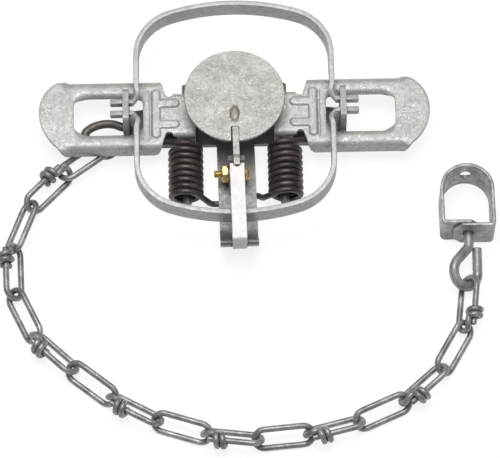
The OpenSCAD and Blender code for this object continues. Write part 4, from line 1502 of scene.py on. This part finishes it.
    def knotted_line(self, start: float) -> List[Vector]:
        """Middle line of a link whose end wire laps its own leg, lying along X with the knot at -X.

        Args:
            start: Where the lapped turns begin on the leg.

        Returns:
            The points.
        """
        s, w, lap = self.half_l - self.half_w, self.half_w, self.knot_lap * self.r
        points = straight(at(-s - self.knot_end, -w), at(s, -w), 14)[:-1]
        points += arc_points(at(s), at(0, -w), at(w), 180, 18)
        points += straight(at(s, w), at(-s, w), 10)[1:]
        lead = arc_points(at(-s), at(0, w), at(-w), self.knot_lead, 11)
        for k, p in enumerate(lead[1:], start=1):
            p.z = lap / 2 * smooth_step(*self.knot_lift, self.knot_lead * k / 11)
        points += lead[1:]
        coil, steps = [], 20
        for turn in (k / steps for k in range(int(self.knot_turns * steps) + 1)):
            a = radians(self.knot_from) + tau * turn
            coil.append(at(start + self.knot_pitch * self.r * turn, -w + lap * cos(a), lap * sin(a)))
        x, y, z = self.knot_over
        over = at((points[-1].x + coil[0].x) / 2 + x, y - w, lap * z)
        bridge = smooth_line([points[-2], points[-1], over, coil[0], coil[1]], 5)[5:15]
        return points + bridge[1:] + coil

    def build_links(self) -> None:
        """Makes the sixteen links."""
        for i, (middle, turn) in enumerate(zip(self.middles()[0], self.turns), start=1):
            knotted = i % 2 == 0
            roll = self.first_roll if i == 1 else self.roll
            placed = (Matrix.Translation(middle) @ Matrix.Rotation(radians(turn), 4, "Z")
                      @ Matrix.Rotation(radians(-roll if knotted else roll), 4, "X"))
            knot = self.first_knot if i == 2 else self.knot
            line = self.knotted_line(knot) if knotted else self.plain_loop()
            bm = bmesh.new()
            wire(bm, [placed @ p for p in line], self.r, 16, closed=not knotted)
            self.add(f"link_{i:02d}_wire", bm, "chain_steel", f"link_{i:02d}", f"chain_link_{i:02d}")

    @staticmethod
    def add_head(bm: Mesh, root: Matrix, radius: float, rows: Sequence[Point2], sides: int) -> None:
        """Adds a rod's round head, from places along its X axis and shares of the head's radius."""
        sweep(bm, [root @ at(x) for x, _ in rows], lambda i: circle_section(radius * rows[i][1], sides))

    def build_hook(self) -> None:
        """Makes the hook in the left post."""
        lean, r = radians(self.hook_turn), self.hook_r
        place = (-self.post_out, -self.hook_y, self.height + r * sin(lean))
        root = Matrix.Translation(place) @ Matrix.Rotation(pi, 4, "Z")
        way, side = ahead(self.hook_turn), left_of(self.hook_turn) * cos(lean) - UP * sin(lean)
        bend_end = at(self.hook_lead + self.hook_bend * sin(lean), self.hook_bend * (1 - cos(lean)))
        turned = arc_points(bend_end + way * self.hook_run + side * r, way * r, side * r, 90, 9)
        bow = [at(*p) for p in self.hook_bow]
        bow += [turned[0] - side * self.bow_end + at(*self.bow_shift), turned[0], turned[2]]
        line = smooth_line(bow, 5)[:-5] + turned
        line += straight(line[-1], line[-1] - way * self.hook_back, 3)[1:]
        bm = bmesh.new()
        wire(bm, [root @ p for p in line], self.hook_wire / 2, 18)
        self.add_head(bm, root, self.hook_head, self.hook_rows, 24)
        self.add("chain_hook_wire", bm, "hook_steel", "frame", "chain_hook")

    def shank(self) -> Vector:
        """Start of the straight shank in the strap.

        Returns:
            The place, in millimetres.
        """
        lean, dip = radians(self.eye_lean), radians(self.eye_dip)
        arm = (self.eye_r * cos(lean) - self.eye_bend * (1 - cos(lean))) / sin(lean)
        reach = self.eye_lead + (self.eye_bend + self.eye_r) * sin(lean) + arm * cos(lean) + self.eye_r
        tip = self.middles()[1] - ahead(90) * (self.eye_d / 2 + self.eye_gap / 2)
        return tip + ahead(90) * reach * cos(dip) + UP * reach * sin(dip)

    def build_eye(self) -> None:
        """Makes the swivel's eye."""
        bend, arm, r = self.loop_bend, self.loop_arm, self.loop_r
        root = Matrix.Translation(self.shank()) @ Matrix.Rotation(radians(90), 4, "Z")
        tilt = (Matrix.Rotation(pi, 4, "Z") @ Matrix.Rotation(radians(self.eye_dip), 4, "Y")
                @ Matrix.Rotation(radians(-self.eye_lean), 4, "X") @ Matrix.Scale(-1, 4, at(0, 1)))
        line = [at(x) for x in self.eye_shank]
        flat = [at(x) for x in self.loop_lead]
        flat += arc_points(at(self.loop_lead[-1], bend), at(0, -bend), at(bend), self.loop_lean, 8)[1:]
        way, off = ahead(self.loop_lean), -left_of(self.loop_lean)
        slant = straight(flat[-1], flat[-1] + way * arm, 4)
        flat += slant[1:-1] + arc_points(slant[-1] + off * r, -off * r, way * r, 180 + self.loop_lean, 26)
        flat += straight(flat[-1], flat[-1] - at(self.loop_end), 4)[1:]
        path = smooth_line([root @ p for p in line] + [root @ tilt @ p for p in flat], 2)
        bm = bmesh.new()
        wire(bm, path, self.loop_d / 2, 20)
        self.add_head(bm, root, self.eye_head, self.eye_rows, 26)
        self.add("swivel_eye_rod", bm, "swivel_steel", "swivel_eye", "swivel_eye")

    def strap_line(self) -> List[Point2]:
        """Length and turn to the left of each part of the strap's outer face, from flap to flap.

        Returns:
            Lengths in millimetres and turns in degrees.
        """
        half, bend = self.strap_half, self.strap_bend
        wall, corner = self.strap_l - half - bend, (bend * pi / 2, 90)
        return [(self.flap_out + half - bend, 0), corner, (wall, 0), (half * pi, 180),
                (wall - self.strap_t, 0), corner, (self.flap_in + half - bend, 0)]

    def strap_place(self, along: float, height: float) -> Vector:
        """A place on the strap's outer face, along the shank but with the ground at 0.

        Args:
            along: Distance from the outer flap's end.
            height: Height above the ground.

        Returns:
            The place in millimetres.
        """
        place, heading = at(self.eye_neck, self.flap_out, height), -90.0
        for length, turn in self.strap_line():
            share = min(1.0, along / length)
            if turn == 0:
                place += ahead(heading) * length * share
            else:
                r = length / radians(turn)
                place += left_of(heading) * r - left_of(heading + turn * share) * r
            heading += turn * share
            along -= length
            if along <= 0:
                break
        return place

    def build_strap(self) -> None:
        """Makes the swivel's strap, whose two flaps overlap around the eye's shank."""
        sheet = FoldedSheet(self.strap_t, self.strap_rim, self.strap_step)
        lengths, shank = [length for length, _ in self.strap_line()], self.shank()
        end, low, (cut, rise) = sum(lengths), self.strap_rim, self.strap_cut
        top, fall = self.strap_h - low, self.strap_h - rise
        outer = sheet.spaced([(0, rise), (cut, low), (end - cut, low), (end, rise),
                              (end, fall), (end - cut, top), (cut, top), (0, fall)])
        bore = self.eye_d / 2 + self.eye_play
        middles = ((sum(lengths[:3]) + lengths[3] / 2, self.strap_h / 2, self.crown_d / 2),
                   (self.flap_out, shank.z, bore), (end - self.flap_in, shank.z, bore))
        holes = [[(x + u, y + v) for u, v in circle_section(r, 28)] for x, y, r in middles]
        dx, dv = self.strap_grid
        rows = [dv * k + self.first_row for k in range(self.strap_rows)]
        spots = [(dx * i, v) for i in range(1, int(end / dx)) for v in rows]
        spots = [(x, v) for x, v in spots
                 if all(hypot(x - a, v - b) > r + self.hole_clear for a, b, r in middles)
                 and all(hypot(x - a, v - b) > self.edge_clear for a, b in outer)]
        bm = sheet.mesh(outer, holes, spots, self.strap_place)
        foot = Matrix.Translation(at(shank.x, shank.y) * MM)
        root = foot @ Matrix.Rotation(radians(90), 4, "Z") @ Matrix.Scale(MM, 4)
        bmesh.ops.transform(bm, matrix=root, verts=bm.verts)
        self.add("swivel_strap_strip", bm, "swivel_steel", "swivel_strap", "swivel_strap")

    def build(self) -> None:
        """Makes hook, links and swivel."""
        for make in (self.build_hook, self.build_links, self.build_eye, self.build_strap):
            make()


# Stage


@dataclass
class Studio:
    """Pale floor, soft lamps and the camera. Sizes are in metres, and a lamp has place, width and watts."""

    azimuth: float = -1.18
    elevation: float = 65.43
    distance: float = 1.887
    target: Point3 = (0.00694, -0.05928, 0.0)
    view_w: float = 0.26284
    sensor_mm: float = 36.0
    floor: Colour = (0.24, 0.24, 0.24)
    floor_glow: float = 0.84
    floor_half: float = 6.0
    floor_z: float = -0.0004
    key: Tuple[Point3, float, float] = ((-0.05, 0.16, 1.6), 1.2, 20.6)
    fill: Tuple[Point3, float, float] = ((0.9, -0.7, 1.0), 1.2, 1.0)
    surround: float = 0.2

    @staticmethod
    def aimed(name: str, data: bpy.types.ID, place: Vector, way: Vector) -> bpy.types.Object:
        """Adds a lamp or a camera.

        Args:
            name: Its name.
            data: Its data.
            place: Where it stands.
            way: Where it points.

        Returns:
            The new object.
        """
        made = bpy.data.objects.new(name, data)
        made.location = place
        made.rotation_mode = "QUATERNION"
        made.rotation_quaternion = way.to_track_quat("-Z", "Y")
        bpy.context.scene.collection.objects.link(made)
        return made

    def build_camera(self) -> None:
        """Sets the camera at the photograph's angle."""
        data = bpy.data.cameras.new("camera")
        data.sensor_fit = "HORIZONTAL"
        data.sensor_width = self.sensor_mm
        data.lens = self.sensor_mm * self.distance / self.view_w
        data.clip_start, data.clip_end = 0.01, 50.0
        a, e = radians(self.azimuth), radians(self.elevation)
        back = at(sin(a) * cos(e), -cos(a) * cos(e), sin(e))
        place = Vector(self.target) + back * self.distance
        bpy.context.scene.camera = self.aimed("camera", data, place, -back)

    def build_floor(self) -> None:
        """Lays a wide pale floor that looks white to the camera and in reflections."""
        bm = bmesh.new()
        bmesh.ops.create_grid(bm, x_segments=1, y_segments=1, size=self.floor_half)
        mesh = bpy.data.meshes.new("floor")
        bm.to_mesh(mesh)
        bm.free()
        floor = bpy.data.objects.new("floor", mesh)
        floor.location.z = self.floor_z
        bpy.context.scene.collection.objects.link(floor)
        sheet = NodeSheet("floor_paper")
        rays = sheet.node("ShaderNodeLightPath", {}).outputs
        seen = sheet.maths("ADD", rays["Is Camera Ray"], rays["Is Glossy Ray"])
        seen = sheet.maths("ADD", seen, rays["Is Transmission Ray"])
        glow = sheet.maths("MULTIPLY", seen, self.floor_glow)
        sheet.feed(sheet.shader, {"Base Color": (*self.floor, 1.0), "Roughness": 0.9,
                                  "Specular IOR Level": 0.0, "Emission Color": (1, 1, 1, 1),
                                  "Emission Strength": glow})
        mesh.materials.append(sheet.material)

    def build_light(self) -> None:
        """Sets the lamps, which point at the trap, and the pale surround."""
        for name, (place, size, watts) in (("key_lamp", self.key), ("fill_lamp", self.fill)):
            data = bpy.data.lights.new(name, "AREA")
            data.size, data.energy = size, watts
            self.aimed(name, data, Vector(place), Vector(self.target) - Vector(place))
        world = bpy.data.worlds.new("surround")
        world.use_nodes = True
        world.node_tree.nodes["Background"].inputs["Color"].default_value = (1, 1, 1, 1)
        world.node_tree.nodes["Background"].inputs["Strength"].default_value = self.surround
        bpy.context.scene.world = world

    def build(self) -> None:
        """Sets up camera, floor, light and plain colour handling."""
        bpy.context.scene.view_settings.view_transform = "Standard"
        self.build_camera()
        self.build_floor()
        self.build_light()


def main() -> None:
    """Builds the stage, the finishes and each sub-assembly in order."""
    logging.basicConfig(level=logging.INFO, format="%(name)s: %(message)s")
    Studio().build()
    finishes = {finish.name: finish.build() for finish in FINISHES}
    for group in (FrameWork, Jaws, Levers, Springs, PanGroup, Chain):
        LOG.info("building %s", group.__name__)
        group(finishes).build()


if __name__ == "__main__":
    main()
